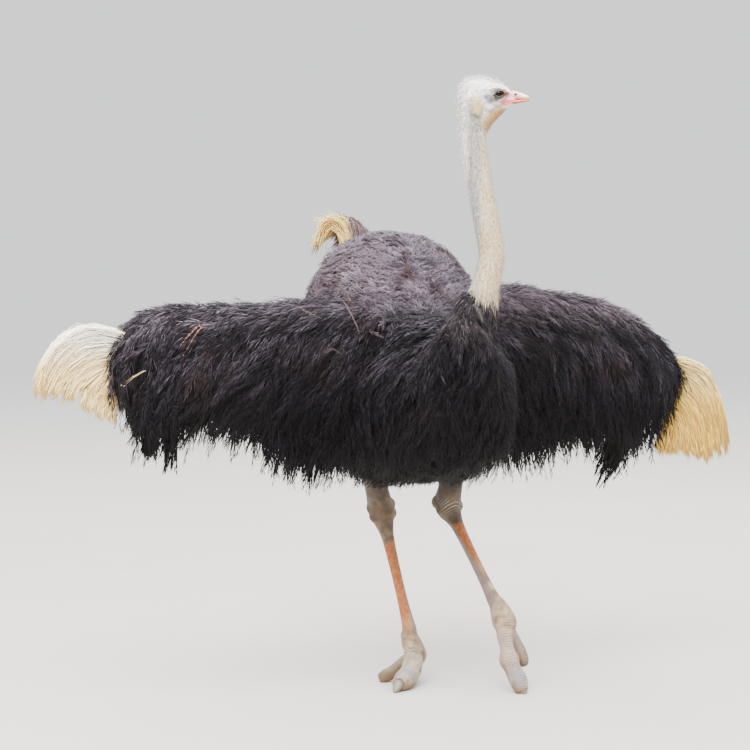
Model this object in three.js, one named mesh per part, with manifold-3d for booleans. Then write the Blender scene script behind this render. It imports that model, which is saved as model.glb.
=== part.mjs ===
// A life-size standing male ostrich with both wings spread, in millimetres.
// +Z is up, the bird walks towards -Y and its left side is +X. The head is turned to the bird's left.
// Every solid follows the outer shape of the plumage, out to the feather tips, or the bare skin of head and legs.
import * as THREE from 'three';
import { mergeVertices } from 'three/addons/utils/BufferGeometryUtils.js';
import Module from 'manifold-3d';

const wasm = await Module();
wasm.setup();

// ---- driving dimensions ----
const GAP = 0.3; // clearance between neighbouring solids
const ROOM = 6000; // size of the blocks that cut solids in two
const HEAD_TURN = THREE.MathUtils.degToRad(65); // from straight ahead, towards the bird's left
const CRANIUM = new THREE.Vector3(-3, -630, 1894); // middle of the braincase
const EYE = { forward: 56, up: 8, apart: 24, radius: 20 };
const WING_ROOT = { outwards: 215, y: -285 }; // where each wing leaves the trunk's side
const WING_SWEEP = 0.165; // how far the wing runs back for each millimetre outwards
const WING_JOINTS = [470, 780]; // elbow and wrist, as distances outwards
const FRINGE_TOP = 970; // level where the thick coverts end and the hanging fringe begins
const HEM_PITCH = 78; // spacing of the hanging points along the wing's lower edge
const HEM_DROP = 20; // depth of the notches between them
const BREAST_BACK = -300; // the trunk's divisions
const RUMP_FRONT = 270;
const BELLY_TOP = 1040;
const SKIRT_TOP = 800;
const NECK_DIVISIONS = [1440, 1640, 1845];
const FLOOR = -14; // level of the floor in the frame the body is drawn in

const UP = new THREE.Vector3(0, 0, 1);
const AHEAD = new THREE.Vector3(0, -1, 0);
const vec = (x, y, z) => new THREE.Vector3(x, y, z);

// ---- tools for making closed bodies ----

/** A closed surface through rings of equal length, with a fan over each end. */
function skinOver(rings) {
  const count = rings[0].length;
  const positions = rings.flat().flatMap((p) => [p.x, p.y, p.z]);
  const index = [];
  for (let r = 0; r + 1 < rings.length; r++) {
    for (let i = 0; i < count; i++) {
      const a = r * count + i;
      const b = r * count + ((i + 1) % count);
      index.push(a, b, b + count, a, b + count, a + count);
    }
  }
  [0, rings.length - 1].forEach((r) => {
    const middle = rings[r].reduce((sum, p) => sum.add(p), vec(0, 0, 0)).divideScalar(count);
    const hub = positions.length / 3;
    positions.push(middle.x, middle.y, middle.z);
    for (let i = 0; i < count; i++) {
      const a = r * count + i;
      const b = r * count + ((i + 1) % count);
      index.push(...(r === 0 ? [hub, b, a] : [hub, a, b]));
    }
  });
  const geometry = new THREE.BufferGeometry();
  geometry.setAttribute('position', new THREE.Float32BufferAttribute(positions, 3));
  geometry.setIndex(index);
  return geometry;
}

/** The geometry as a solid that booleans can use, with its faces pointing out. */
function toSolid(geometry) {
  const bare = new THREE.BufferGeometry();
  bare.setAttribute('position', geometry.getAttribute('position').clone());
  if (geometry.index) bare.setIndex(geometry.index.clone());
  const merged = mergeVertices(bare, 1e-4);
  const vertProperties = new Float32Array(merged.attributes.position.array);
  const triVerts = new Uint32Array(merged.index.array);
  let volume = 0;
  const corner = (k) => vec(...vertProperties.subarray(3 * triVerts[k], 3 * triVerts[k] + 3));
  for (let k = 0; k < triVerts.length; k += 3) {
    volume += corner(k).dot(corner(k + 1).cross(corner(k + 2)));
  }
  if (volume < 0) {
    for (let k = 0; k < triVerts.length; k += 3) {
      [triVerts[k + 1], triVerts[k + 2]] = [triVerts[k + 2], triVerts[k + 1]];
    }
  }
  return new wasm.Manifold(new wasm.Mesh({ numProp: 3, vertProperties, triVerts }));
}

/** The triangles of the solid's largest piece, so that a cut leaves no loose crumbs. */
function largestPiece(triVerts, numVert) {
  const parent = Array.from({ length: numVert }, (_, i) => i);
  const root = (i) => {
    while (parent[i] !== i) {
      parent[i] = parent[parent[i]];
      i = parent[i];
    }
    return i;
  };
  for (let k = 0; k < triVerts.length; k += 3) {
    parent[root(triVerts[k + 1])] = root(triVerts[k]);
    parent[root(triVerts[k + 2])] = root(triVerts[k]);
  }
  const pieces = new Map();
  for (let k = 0; k < triVerts.length; k += 3) {
    const owner = root(triVerts[k]);
    if (!pieces.has(owner)) pieces.set(owner, []);
    pieces.get(owner).push(triVerts[k], triVerts[k + 1], triVerts[k + 2]);
  }
  return [...pieces.values()].reduce((best, piece) => (piece.length > best.length ? piece : best));
}

/** The solid as a geometry for a mesh. */
function toGeometry(solid) {
  const mesh = solid.getMesh();
  const positions = new Float32Array(mesh.numVert * 3);
  for (let i = 0; i < mesh.numVert; i++) {
    positions.set(mesh.vertProperties.subarray(i * mesh.numProp, i * mesh.numProp + 3), i * 3);
  }
  const geometry = new THREE.BufferGeometry();
  geometry.setAttribute('position', new THREE.BufferAttribute(positions, 3));
  geometry.setIndex(largestPiece(mesh.triVerts, mesh.numVert));
  return mergeVertices(geometry.toNonIndexed(), 1e-4);
}

/**
 * A body swept through stations. Each station is { at, side, up } with half sizes, and may add
 * square and skirt (how boxy its upper and lower halves are, 2 being an ellipse), taper (thins the
 * lower edge) and lean (moves the lower edge along side). The section stands across the path, with
 * its up axis as near upright as it goes, or across the fixed direction `across`.
 */
function sweep(stations, { sides = 12, steps = 8, upright = UP, across = null, grow = 0, hem = null }) {
  const through = (read) => new THREE.CatmullRomCurve3(stations.map(read));
  const path = through((s) => s.at);
  const half = through((s) => vec(s.side, s.up, 0));
  const power = through((s) => vec(2 / (s.square ?? 2), 2 / (s.skirt ?? s.square ?? 2), 0));
  const form = through((s) => vec(s.taper ?? 0, s.lean ?? 0, 0));
  const rings = [];
  for (let k = 0; k <= steps; k++) {
    const t = k / steps;
    const along = across ? across.clone() : path.getTangent(t);
    const upAxis = upright.clone().addScaledVector(along, -upright.dot(along)).normalize();
    const sideAxis = new THREE.Vector3().crossVectors(along, upAxis);
    const centre = path.getPoint(t);
    const notch = hem ? hem(centre) : 0;
    if (k === 0) centre.addScaledVector(along, -grow);
    if (k === steps) centre.addScaledVector(along, grow);
    const size = half.getPoint(t);
    const { x: upper, y: lower } = power.getPoint(t);
    const { x: taper, y: lean } = form.getPoint(t);
    rings.push(
      Array.from({ length: sides }, (_, i) => {
        const turn = (2 * Math.PI * i) / sides;
        const boxy = (value) => Math.sign(value) * Math.abs(value) ** (Math.cos(turn) > 0 ? upper : lower);
        const high = boxy(Math.cos(turn));
        const wide = boxy(Math.sin(turn));
        const low = (1 - high) / 2; // 0 at the top edge and 1 at the bottom
        return centre
          .clone()
          .addScaledVector(upAxis, (size.y + grow) * high + notch * Math.max(0, -high))
          .addScaledVector(sideAxis, (size.x + grow) * wide * (1 - taper * low) + lean * low);
      }),
    );
  }
  return toSolid(skinOver(rings));
}

/** A block that fills everything beyond a plane, on the side its normal points to. */
function beyond(point, normal) {
  const block = new THREE.BoxGeometry(ROOM, ROOM, ROOM).translate(0, 0, ROOM / 2);
  block.applyQuaternion(new THREE.Quaternion().setFromUnitVectors(UP, normal));
  return toSolid(block.translate(point.x, point.y, point.z));
}

/** [the part behind the plane, the part beyond it], with the usual gap between them. */
function divide(solid, point, normal) {
  const near = point.clone().addScaledVector(normal, -GAP / 2);
  const far = point.clone().addScaledVector(normal, GAP / 2);
  return [solid.subtract(beyond(near, normal)), solid.subtract(beyond(far, normal.clone().negate()))];
}

const without = (solid, ...tools) => tools.reduce((left, tool) => left.subtract(tool), solid);
const floor = () => beyond(vec(0, 0, FLOOR), vec(0, 0, -1));

// ---- trunk: breast, belly, back and rump, to the tips of their feathers ----

const TRUNK = [
  { at: vec(0, -596, 1035), side: 40, up: 50 },
  { at: vec(0, -572, 1010), side: 120, up: 140 },
  { at: vec(0, -500, 965), side: 205, up: 225, skirt: 2.3 },
  { at: vec(0, -380, 945), side: 262, up: 268, skirt: 2.8 },
  { at: vec(0, -220, 1010), side: 298, up: 350, square: 2.4, skirt: 3 },
  { at: vec(0, -40, 1072), side: 308, up: 412, square: 2.45, skirt: 2.8 },
  { at: vec(0, 110, 1094), side: 292, up: 390, square: 2.2, skirt: 2.4 },
  { at: vec(0, 240, 1110), side: 240, up: 326, square: 2.1 },
  { at: vec(0, 345, 1132), side: 172, up: 236 },
  { at: vec(0, 420, 1156), side: 100, up: 146 },
  { at: vec(0, 452, 1170), side: 42, up: 62 },
];
const bellyHem = ({ y }) => HEM_DROP * Math.sin(y / 19) ** 2;
const trunk = (grow = 0) => sweep(TRUNK, { sides: 20, steps: 12, across: vec(0, 1, 0), grow, hem: bellyHem });

// ---- neck and head ----

const NECK_BASE = [
  { at: vec(0, -400, 1030), side: 150, up: 150 },
  { at: vec(-10, -500, 1060), side: 132, up: 126 },
  { at: vec(-24, -564, 1115), side: 106, up: 96 },
  { at: vec(-18, -600, 1190), side: 88, up: 76 },
  { at: vec(-6, -616, 1245), side: 70, up: 62 },
  { at: vec(6, -620, 1290), side: 58, up: 55 },
];
const NECK = [
  { at: vec(6, -620, 1280), side: 57, up: 54 },
  { at: vec(22, -640, 1350), side: 50, up: 49 },
  { at: vec(28, -650, 1420), side: 48, up: 47 },
  { at: vec(9, -650, 1520), side: 47, up: 46 },
  { at: vec(-6, -641, 1622), side: 46, up: 45 },
  { at: vec(-18, -635, 1708), side: 45, up: 45 },
  { at: vec(-26, -630, 1795), side: 45, up: 47 },
  { at: vec(-22, -630, 1870), side: 42, up: 46 },
];
const neckBase = (grow = 0) => sweep(NECK_BASE, { sides: 12, steps: 6, upright: AHEAD, grow });
const neck = () => sweep(NECK, { sides: 10, steps: 10, upright: AHEAD });

// The head's own frame has x forward along the bill, y to the head's left and z up.
const headForward = AHEAD.clone().applyAxisAngle(UP, HEAD_TURN);
const headLeft = new THREE.Vector3().crossVectors(UP, headForward);
const headFrame = new THREE.Matrix4().makeBasis(headForward, headLeft, UP).setPosition(CRANIUM);
const onHead = (x, y, z) => vec(x, y, z).applyMatrix4(headFrame);
const headStations = (rows) =>
  rows.map(([forward, level, side, up, square = 2]) => ({ at: onHead(forward, 0, level), side, up, square }));

const SKULL = headStations([
  [-67, 2, 12, 16],
  [-61, 2, 26, 33],
  [-42, 3, 39, 52],
  [-12, 5, 44, 61],
  [20, 3, 45, 58],
  [50, 0, 43, 48],
  [74, -3, 33, 35],
  [92, -5, 24, 26],
  [103, -6, 15, 17],
  [108, -6, 7, 9],
]);
const THROAT = headStations([
  [84, -26, 12, 8],
  [64, -34, 24, 18],
  [34, -48, 36, 32],
  [6, -66, 42, 42],
  [-12, -92, 43, 42],
]);
const UPPER_BILL = headStations([
  [84, 3, 22, 18, 2.4],
  [104, 4, 20, 15, 2.4],
  [122, 2.5, 17, 11.5, 2.3],
  [137, 0, 13, 8],
  [146, -2.5, 8.5, 5],
  [151, -5, 3.5, 2],
]);
const LOWER_BILL = headStations([
  [84, -18, 20, 10],
  [104, -15, 18, 8],
  [122, -12.5, 15, 6],
  [137, -10.5, 11, 4.2],
  [148, -8.5, 3, 1.6],
]);
const skull = (grow = 0) => sweep(SKULL, { sides: 12, steps: 9, grow });
const throatUp = UP.clone().addScaledVector(headForward, 0.6).normalize();
const throat = () => sweep(THROAT, { sides: 8, steps: 4, upright: throatUp });
const upperBill = (grow = 0) => sweep(UPPER_BILL, { sides: 8, steps: 5, grow });
const lowerBill = () => sweep(LOWER_BILL, { sides: 8, steps: 4 });
const eyeball = (side, grow = 0) => {
  const place = onHead(EYE.forward, side * EYE.apart, EYE.up);
  return toSolid(new THREE.SphereGeometry(EYE.radius + grow, 10, 6).translate(place.x, place.y, place.z));
};

// ---- wings ----

/** The wings' line in plan: y at a distance outwards from the bird's middle. */
const wingLine = (outwards) => WING_ROOT.y + WING_SWEEP * (outwards - WING_ROOT.outwards);

// Upper and lower edge of each wing at each distance outwards, and half its thickness there.
const WING_REACH = [150, 300, 480, 640, 760, 870, 960, 1010, 1030];
const WING_HALF_THICKNESS = [140, 126, 110, 98, 88, 76, 56, 34, 16];
const WINGS = {
  left: {
    sign: 1,
    top: [1310, 1325, 1294, 1273, 1240, 1178, 1106, 1048, 1000],
    bottom: [740, 710, 712, 724, 716, 682, 745, 850, 905],
    streamers: [
      { outwards: 728, top: 760, drop: 150, radius: 22 },
      { outwards: 772, top: 750, drop: 116, radius: 18 },
    ],
    plumes: [
      { start: [985, -160, 1000], crest: [1125, -150, 945], tip: [1258, -112, 730], side: 34, up: 60 },
      { start: [980, -120, 930], crest: [1110, -110, 862], tip: [1196, -76, 684], side: 34, up: 60 },
      { start: [960, -90, 860], crest: [1050, -70, 800], tip: [1112, -48, 690], side: 30, up: 48 },
    ],
  },
  right: {
    sign: -1,
    top: [1270, 1282, 1278, 1272, 1274, 1270, 1240, 1188, 1135],
    bottom: [730, 702, 728, 806, 826, 766, 826, 950, 1010],
    streamers: [
      { outwards: 822, top: 850, drop: 140, radius: 21 },
      { outwards: 884, top: 830, drop: 108, radius: 18 },
    ],
    plumes: [
      { start: [985, -150, 1150], crest: [1130, -130, 1142], tip: [1252, -98, 985], side: 34, up: 46 },
      { start: [985, -120, 1070], crest: [1105, -96, 1062], tip: [1188, -62, 962], side: 36, up: 56 },
      { start: [970, -95, 985], crest: [1030, -74, 975], tip: [1062, -50, 888], side: 32, up: 48 },
    ],
  },
};
const wingHem = ({ x }) => HEM_DROP * (1 - Math.cos((2 * Math.PI * x) / HEM_PITCH));
const wing = ({ sign, top, bottom }, grow = 0) =>
  sweep(
    WING_REACH.map((outwards, k) => ({
      at: vec(sign * outwards, wingLine(outwards), (top[k] + bottom[k]) / 2),
      side: WING_HALF_THICKNESS[k],
      up: (top[k] - bottom[k]) / 2,
      taper: 0.6,
      lean: sign * 0.14 * (bottom[k] - top[k]),
      square: 2.2,
    })),
    { sides: 12, steps: 21, across: vec(sign, 0, 0), grow, hem: wingHem },
  );

/** A tuft of long loose feathers that hangs below the fringe. */
const streamer = (sign, { outwards, top, drop, radius }) =>
  sweep(
    [0, 0.4, 0.75, 1].map((t, k) => ({
      at: vec(sign * (outwards + 14 * t), wingLine(outwards) + 66 + 14 * t, top - drop * t),
      side: radius * [0.9, 1, 0.7, 0.15][k],
      up: radius * [0.9, 0.9, 0.6, 0.15][k],
    })),
    { sides: 6, steps: 3, upright: AHEAD },
  );

/** A long drooping plume: start, crest and tip are [outwards, y, level], side and up its half sizes. */
function plume(sign, { start, crest, tip, side, up }, grow = 0) {
  const [a, b, c] = [start, crest, tip].map(([outwards, y, level]) => vec(sign * outwards, y, level));
  const path = [
    a,
    a.clone().lerp(b, 0.55).addScaledVector(UP, 12),
    b,
    b.clone().lerp(c, 0.55).addScaledVector(UP, 26),
    c,
  ];
  const swell = [0.9, 1, 1, 0.8, 0.22];
  return sweep(
    path.map((at, k) => ({ at, side: side * swell[k], up: up * swell[k] })),
    { sides: 8, steps: 5, grow },
  );
}

// ---- tail: a stump and three nodding plumes ----

const TAIL_STUMP = [
  { at: vec(10, 320, 1270), side: 84, up: 74 },
  { at: vec(14, 395, 1335), side: 80, up: 64 },
  { at: vec(16, 448, 1400), side: 66, up: 50 },
];
const TAIL_PLUMES = {
  middle: { start: [18, 440, 1396], crest: [36, 520, 1496], tip: [52, 640, 1352], side: 42, up: 30 },
  left: { start: [56, 430, 1390], crest: [104, 490, 1482], tip: [160, 570, 1338], side: 36, up: 28 },
  right: { start: [-18, 430, 1390], crest: [-14, 500, 1474], tip: [-34, 560, 1330], side: 34, up: 28 },
};
const tailStump = (grow = 0) => sweep(TAIL_STUMP, { sides: 8, steps: 3, grow });

// ---- legs: the right one stands, the left one comes forward onto its toe tip ----

const LEGS = {
  right: {
    knee: vec(-195, -143, 948),
    hock: vec(-6, 70, 549),
    ball: vec(68, -32, 86),
    pad: [vec(61, -11, 126), vec(68, -32, 86), vec(81, -23, 58), vec(91, -15, 40)],
    inner: [vec(65, -39, 74), vec(41, -75, 46), vec(7, -119, 24), vec(-32, -160, 16), vec(-64, -189, 9)],
    outer: [vec(53, -35, 68), vec(17, -33, 40), vec(-15, -29, 16), vec(-41, -27, 5), vec(-59, -26, 0)],
    claw: vec(-88, -206, -13),
  },
  left: {
    knee: vec(170, -220, 980),
    hock: vec(210, 8, 564),
    ball: vec(268, -290, 213),
    pad: [vec(261, -263, 256), vec(268, -290, 213), vec(278, -288, 184), vec(286, -284, 164)],
    inner: [vec(268, -293, 206), vec(262, -314, 150), vec(262, -334, 98), vec(277, -362, 42), vec(287, -381, -9)],
    outer: [vec(281, -290, 190), vec(299, -306, 146), vec(311, -324, 108), vec(315, -336, 82), vec(316, -341, 66)],
    claw: vec(291, -400, -13),
  },
};

// Half widths at fractions of the shank's two long bones, and at distances from the hock.
const SHIN = [[0, 60, 66], [0.25, 62, 72], [0.5, 46, 54], [0.72, 38, 42]];
const HOCK_ABOVE = [[54, 41, 44], [16, 46, 51]];
const HOCK_BELOW = [[18, 44, 49], [50, 31, 36], [92, 22, 26]];
const TARSUS = [[0.4, 18, 23], [0.66, 18, 24], [0.84, 24, 28]];
const PAD = [[30, 33], [36, 38], [34, 36], [16, 18]];
const INNER_TOE = [[28, 28], [34, 34], [35, 37], [34, 33], [24, 24]];
const OUTER_TOE = [[20, 20], [20, 21], [19, 23], [18, 22], [11, 15]];
const CLAW = [[0, 13, 11], [0.45, 12, 10], [0.8, 7, 6], [1, 2.5, 2.5]];
const SHIN_END = 62; // distances from the hock and the ball where the leg is divided
const TARSUS_START = 96;
const TARSUS_END = 34;

/** The leg from the knee to the pad under the ball of the foot, divided across the shank. */
function legPieces({ knee, hock, ball, pad }) {
  const [above, below] = [knee, ball].map((end) => end.clone().sub(hock).normalize());
  const along = (from, to) => ([t, side, up]) => ({ at: from.clone().lerp(to, t), side, up });
  const off = (way) => ([distance, side, up]) => ({ at: hock.clone().addScaledVector(way, distance), side, up });
  const stations = [
    ...SHIN.map(along(knee, hock)),
    ...HOCK_ABOVE.map(off(above)),
    ...HOCK_BELOW.map(off(below)),
    ...TARSUS.map(along(hock, ball)),
    ...chain(pad, PAD),
  ];
  const whole = sweep(stations, { sides: 10, steps: 22, upright: AHEAD });
  const [rest, shin] = divide(whole, hock.clone().addScaledVector(above, SHIN_END), above);
  const [joint, lower] = divide(rest, hock.clone().addScaledVector(below, TARSUS_START), below);
  const [tarsus, foot] = divide(lower, ball.clone().addScaledVector(below, -TARSUS_END), below);
  return { shin, hock: joint, tarsus, foot };
}
const chain = (points, sizes, square) =>
  points.map((at, k) => ({ at, side: sizes[k][0], up: sizes[k][1], square }));
const TOE_UPRIGHT = vec(0, -0.35, 1).normalize();
const toe = (points, sizes, grow = 0) =>
  sweep(chain(points, sizes, 2.3), { sides: 8, steps: 6, upright: TOE_UPRIGHT, grow });
const claw = (from, to) => {
  const stations = CLAW.map(([t, side, up]) => ({ at: from.clone().lerp(to, t), side, up }));
  return sweep(stations, { sides: 6, steps: 3 });
};

// ---- finishes ----

const finish = (color, roughness) => () => new THREE.MeshStandardMaterial({ color, roughness, metalness: 0 });
const LOOKS = {
  black: finish(0x1d191b, 0.75),
  brown: finish(0x5b5053, 0.8),
  white: finish(0xf1e6cd, 0.7),
  cream: finish(0xd9b98a, 0.7),
  down: finish(0xd9d3cb, 0.85),
  skin: finish(0xb9aa9a, 0.6),
  bill: finish(0xe0a898, 0.4),
  horn: finish(0x6d665c, 0.5),
  eye: finish(0x2a1a10, 0.08),
};

// ---- the bird, put together part by part ----

const bird = new THREE.Group();
function add(name, solid, look) {
  const mesh = new THREE.Mesh(toGeometry(solid), LOOKS[look]());
  mesh.name = name;
  bird.add(mesh);
}

// Trunk
const [front, behindBreast] = divide(trunk(), vec(0, BREAST_BACK, 0), vec(0, 1, 0));
const [middle, rump] = divide(behindBreast, vec(0, RUMP_FRONT, 0), vec(0, 1, 0));
const [belly, back] = divide(middle, vec(0, 0, BELLY_TOP), UP);
const [skirt, breast] = divide(front, vec(0, 0, SKIRT_TOP), UP);
add('breast', breast, 'black');
add('breast_fringe', skirt, 'black');
add('belly', belly, 'black');
add('back', back, 'brown');
add('rump', rump, 'brown');
const body = trunk(GAP);

// Neck and head
add('neck_base', without(neckBase(), body), 'black');
const swanNeck = without(neck(), neckBase(GAP)).add(skull()).add(throat());
const [neckLow, aboveLow] = divide(swanNeck, vec(0, 0, NECK_DIVISIONS[0]), UP);
const [neckMiddle, aboveMiddle] = divide(aboveLow, vec(0, 0, NECK_DIVISIONS[1]), UP);
const nape = onHead(-20, 0, NECK_DIVISIONS[2] - CRANIUM.z);
const [neckHigh, head] = divide(aboveMiddle, nape, UP.clone().addScaledVector(headForward, 0.45).normalize());
add('neck_lower', neckLow, 'down');
add('neck_middle', neckMiddle, 'down');
add('neck_upper', neckHigh, 'down');
add('head', without(head, eyeball(1, GAP), eyeball(-1, GAP)), 'down');
add('bill_upper', without(upperBill(), skull(GAP)), 'bill');
add('bill_lower', without(lowerBill(), skull(GAP), throat(), upperBill(GAP)), 'bill');
add('eye_left', eyeball(1), 'eye');
add('eye_right', eyeball(-1), 'eye');

// Wings
for (const [name, form] of Object.entries(WINGS)) {
  const { sign, streamers, plumes } = form;
  const outward = vec(sign, 0, 0);
  const spread = wing(form, GAP);
  const [fringe, coverts] = divide(without(wing(form), body, neckBase(GAP)), vec(0, 0, FRINGE_TOP), UP);
  const [elbow, wrist] = WING_JOINTS.map((outwards) => vec(sign * outwards, 0, 0));
  for (const [layer, solid] of [['', coverts], ['_fringe', fringe]]) {
    const [inner, rest] = divide(solid, elbow, outward);
    const [middlePart, outer] = divide(rest, wrist, outward);
    add(`wing_${name}_shoulder${layer}`, inner, 'black');
    add(`wing_${name}_forearm${layer}`, middlePart, 'black');
    add(`wing_${name}_hand${layer}`, outer, 'black');
  }
  streamers.forEach((s, k) => {
    add(`wing_${name}_streamer_${k + 1}`, without(streamer(sign, s), spread), 'black');
  });
  plumes.forEach((p, k) => {
    const others = plumes.slice(0, k).map((q) => plume(sign, q, GAP));
    add(`wing_${name}_plume_${k + 1}`, without(plume(sign, p), spread, ...others), 'white');
  });
}

// Tail
add('tail_stump', without(tailStump(), body), 'brown');
Object.entries(TAIL_PLUMES).forEach(([name, p], k, all) => {
  const others = all.slice(0, k).map(([, q]) => plume(1, q, GAP));
  add(`tail_plume_${name}`, without(plume(1, p), tailStump(GAP), body, ...others), 'cream');
});

// Legs
for (const [name, leg] of Object.entries(LEGS)) {
  const spread = wing(WINGS[name], GAP);
  const { shin, hock, tarsus, foot } = legPieces(leg);
  const innerToe = toe(leg.inner, INNER_TOE, GAP);
  const outerToe = toe(leg.outer, OUTER_TOE, GAP);
  add(`shin_${name}`, without(shin, body, spread), 'skin');
  add(`hock_${name}`, without(hock, body, spread), 'skin');
  add(`tarsus_${name}`, tarsus, 'skin');
  add(`foot_${name}`, without(foot, innerToe, outerToe), 'skin');
  add(`toe_inner_${name}`, without(toe(leg.inner, INNER_TOE), floor()), 'skin');
  add(`toe_outer_${name}`, without(toe(leg.outer, OUTER_TOE), innerToe, floor()), 'skin');
  add(`claw_${name}`, without(claw(leg.inner.at(-1), leg.claw), innerToe, floor()), 'horn');
}

// The origin is on the floor, under the middle of the bird's bounding box.
const box = new THREE.Box3().setFromObject(bird);
const centre = box.getCenter(vec(0, 0, 0));
bird.position.set(-centre.x, -centre.y, -box.min.z);

export default bird;
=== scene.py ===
"""A life-size male ostrich with both wings spread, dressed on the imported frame.

One skin covers the flesh. Eyes, lashes, bill and nails are pieces of their own, and the plumage is solid
mesh: plumes of barbs over a bed of broad locks. Shapes are worked out in metres in the frame that the body
was drawn in: the bird walks towards -Y, its left side is +X. Bird.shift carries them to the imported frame.
"""

from __future__ import annotations

import logging
import math
from dataclasses import dataclass, field
from enum import Enum, IntEnum
from typing import Callable, Sequence, Union

import bpy
import numpy as np
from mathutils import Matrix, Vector
from mathutils.bvhtree import BVHTree

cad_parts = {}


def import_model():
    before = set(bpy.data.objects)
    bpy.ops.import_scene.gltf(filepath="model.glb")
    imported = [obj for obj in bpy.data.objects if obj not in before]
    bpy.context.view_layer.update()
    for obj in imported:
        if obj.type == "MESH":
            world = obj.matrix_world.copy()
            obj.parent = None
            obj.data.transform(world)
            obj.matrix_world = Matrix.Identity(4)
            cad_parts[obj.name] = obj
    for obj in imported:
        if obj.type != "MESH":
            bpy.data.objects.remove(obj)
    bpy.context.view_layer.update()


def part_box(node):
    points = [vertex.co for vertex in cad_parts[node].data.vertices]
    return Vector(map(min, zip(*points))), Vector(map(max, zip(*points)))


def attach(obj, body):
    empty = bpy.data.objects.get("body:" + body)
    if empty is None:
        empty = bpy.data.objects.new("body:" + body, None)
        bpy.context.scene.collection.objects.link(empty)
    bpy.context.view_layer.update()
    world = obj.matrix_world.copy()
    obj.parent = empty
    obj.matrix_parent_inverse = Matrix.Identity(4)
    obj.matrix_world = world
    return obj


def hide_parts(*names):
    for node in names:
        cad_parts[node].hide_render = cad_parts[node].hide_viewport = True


LOG = logging.getLogger("ostrich")
Row = tuple[float, ...]
Chart = Callable[[np.ndarray], np.ndarray]
UP = np.array([0.0, 0.0, 1.0])
AHEAD = np.array([0.0, -1.0, 0.0])
LEFTWARD = np.array([1.0, 0.0, 0.0])
MM = 1000  # millimetres in a metre


class Seed(IntEnum):
    """First seed of each kind of piece, so that a change to one kind leaves the others alone."""

    COAT = 10
    SILK = 30
    TAIL = 40
    SPRAYS = 44
    STREAMERS = 50
    LASHES = 60
    DOWN = 70


# ---- small tools for arrays of points ----


def unit(vectors: np.ndarray) -> np.ndarray:
    """The vectors at length 1."""
    return vectors / np.maximum(np.linalg.norm(vectors, axis=-1, keepdims=True), 1e-9)


def rise(values: np.ndarray, low: float, high: float) -> np.ndarray:
    """A smooth step from 0 at low to 1 at high."""
    t = np.clip((values - low) / (high - low), 0.0, 1.0)
    return t * t * (3.0 - 2.0 * t)


def dots(a: np.ndarray, b: np.ndarray) -> np.ndarray:
    """Row-by-row dot products, kept as a column."""
    return np.sum(a * b, axis=-1, keepdims=True)


def bezier(ends: Sequence[np.ndarray], s: np.ndarray) -> np.ndarray:
    """Points at s on curves of three control points each."""
    a, b, c = ends
    return (1 - s) ** 2 * a + 2 * s * (1 - s) * b + s * s * c


def bezier_way(ends: Sequence[np.ndarray], s: np.ndarray) -> np.ndarray:
    """Unit tangents at s of curves of three control points each."""
    a, b, c = ends
    return unit((1 - s) * (b - a) + s * (c - b))


def catmull(rows: np.ndarray, t: np.ndarray) -> np.ndarray:
    """Values at t, from 0 to 1, on a Catmull-Rom curve through the rows.

    Args:
        rows: one row of values for each station.
        t: the places wanted.

    Returns:
        One row of values for each place.
    """
    last = len(rows) - 1
    padded = np.vstack([2 * rows[0] - rows[1], rows, 2 * rows[-1] - rows[-2]])
    whole = np.minimum((t * last).astype(int), last - 1)
    f = (t * last - whole)[:, None]
    a, b, c, d = (padded[whole + k] for k in range(4))
    return 0.5 * (2 * b + (c - a) * f + (2 * a - 5 * b + 4 * c - d) * f**2 + (3 * b - a - 3 * c + d) * f**3)


# ---- surfaces ----


@dataclass
class Shape:
    """A surface: corner points, and faces that all have the same number of corners."""

    points: np.ndarray
    faces: np.ndarray

    def triangles(self) -> np.ndarray:
        """The faces as triangles.

        Returns:
            Three corners for each.
        """
        if self.faces.shape[1] == 3:
            return self.faces
        return np.vstack([self.faces[:, [0, 1, 2]], self.faces[:, [0, 2, 3]]])

    def normals(self) -> np.ndarray:
        """Unit normals at the points, weighted by area.

        Returns:
            One normal for each point.
        """
        faces = self.triangles()
        a, b, c = (self.points[faces[:, k]] for k in range(3))
        cross = np.cross(b - a, c - a)
        total = np.zeros_like(self.points)
        for k in range(3):
            for axis in range(3):
                total[:, axis] += np.bincount(faces[:, k], cross[:, axis], len(self.points))
        return unit(total)

    def tree(self) -> BVHTree:
        """A search tree over the faces."""
        return BVHTree.FromPolygons(self.points.tolist(), self.faces.tolist())

    def relax(self, rounds: int) -> "Shape":
        """The surface smoothed by moving each point halfway to the mean of its neighbours.

        Args:
            rounds: how many times.

        Returns:
            The smoother surface.
        """
        faces = self.faces
        edges = np.vstack([faces[:, [k, (k + 1) % faces.shape[1]]] for k in range(faces.shape[1])])
        edges = np.unique(np.sort(edges, axis=1), axis=0)
        ends = np.concatenate([edges[:, 0], edges[:, 1]])
        others = np.concatenate([edges[:, 1], edges[:, 0]])
        count = np.maximum(np.bincount(ends, minlength=len(self.points)), 1)
        points = self.points.copy()
        for _ in range(rounds):
            mean = [np.bincount(ends, points[others, axis], len(points)) / count for axis in range(3)]
            points += 0.5 * (np.stack(mean, axis=1) - points)
        return Shape(points, faces)


def join(shapes: Sequence[Shape]) -> Shape:
    """Several surfaces as one list of points and triangles.

    Args:
        shapes: the surfaces.

    Returns:
        One surface.
    """
    starts = np.cumsum([0] + [len(s.points) for s in shapes])
    faces = [s.triangles() + start for s, start in zip(shapes, starts)]
    return Shape(np.vstack([s.points for s in shapes]), np.vstack(faces))


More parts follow.
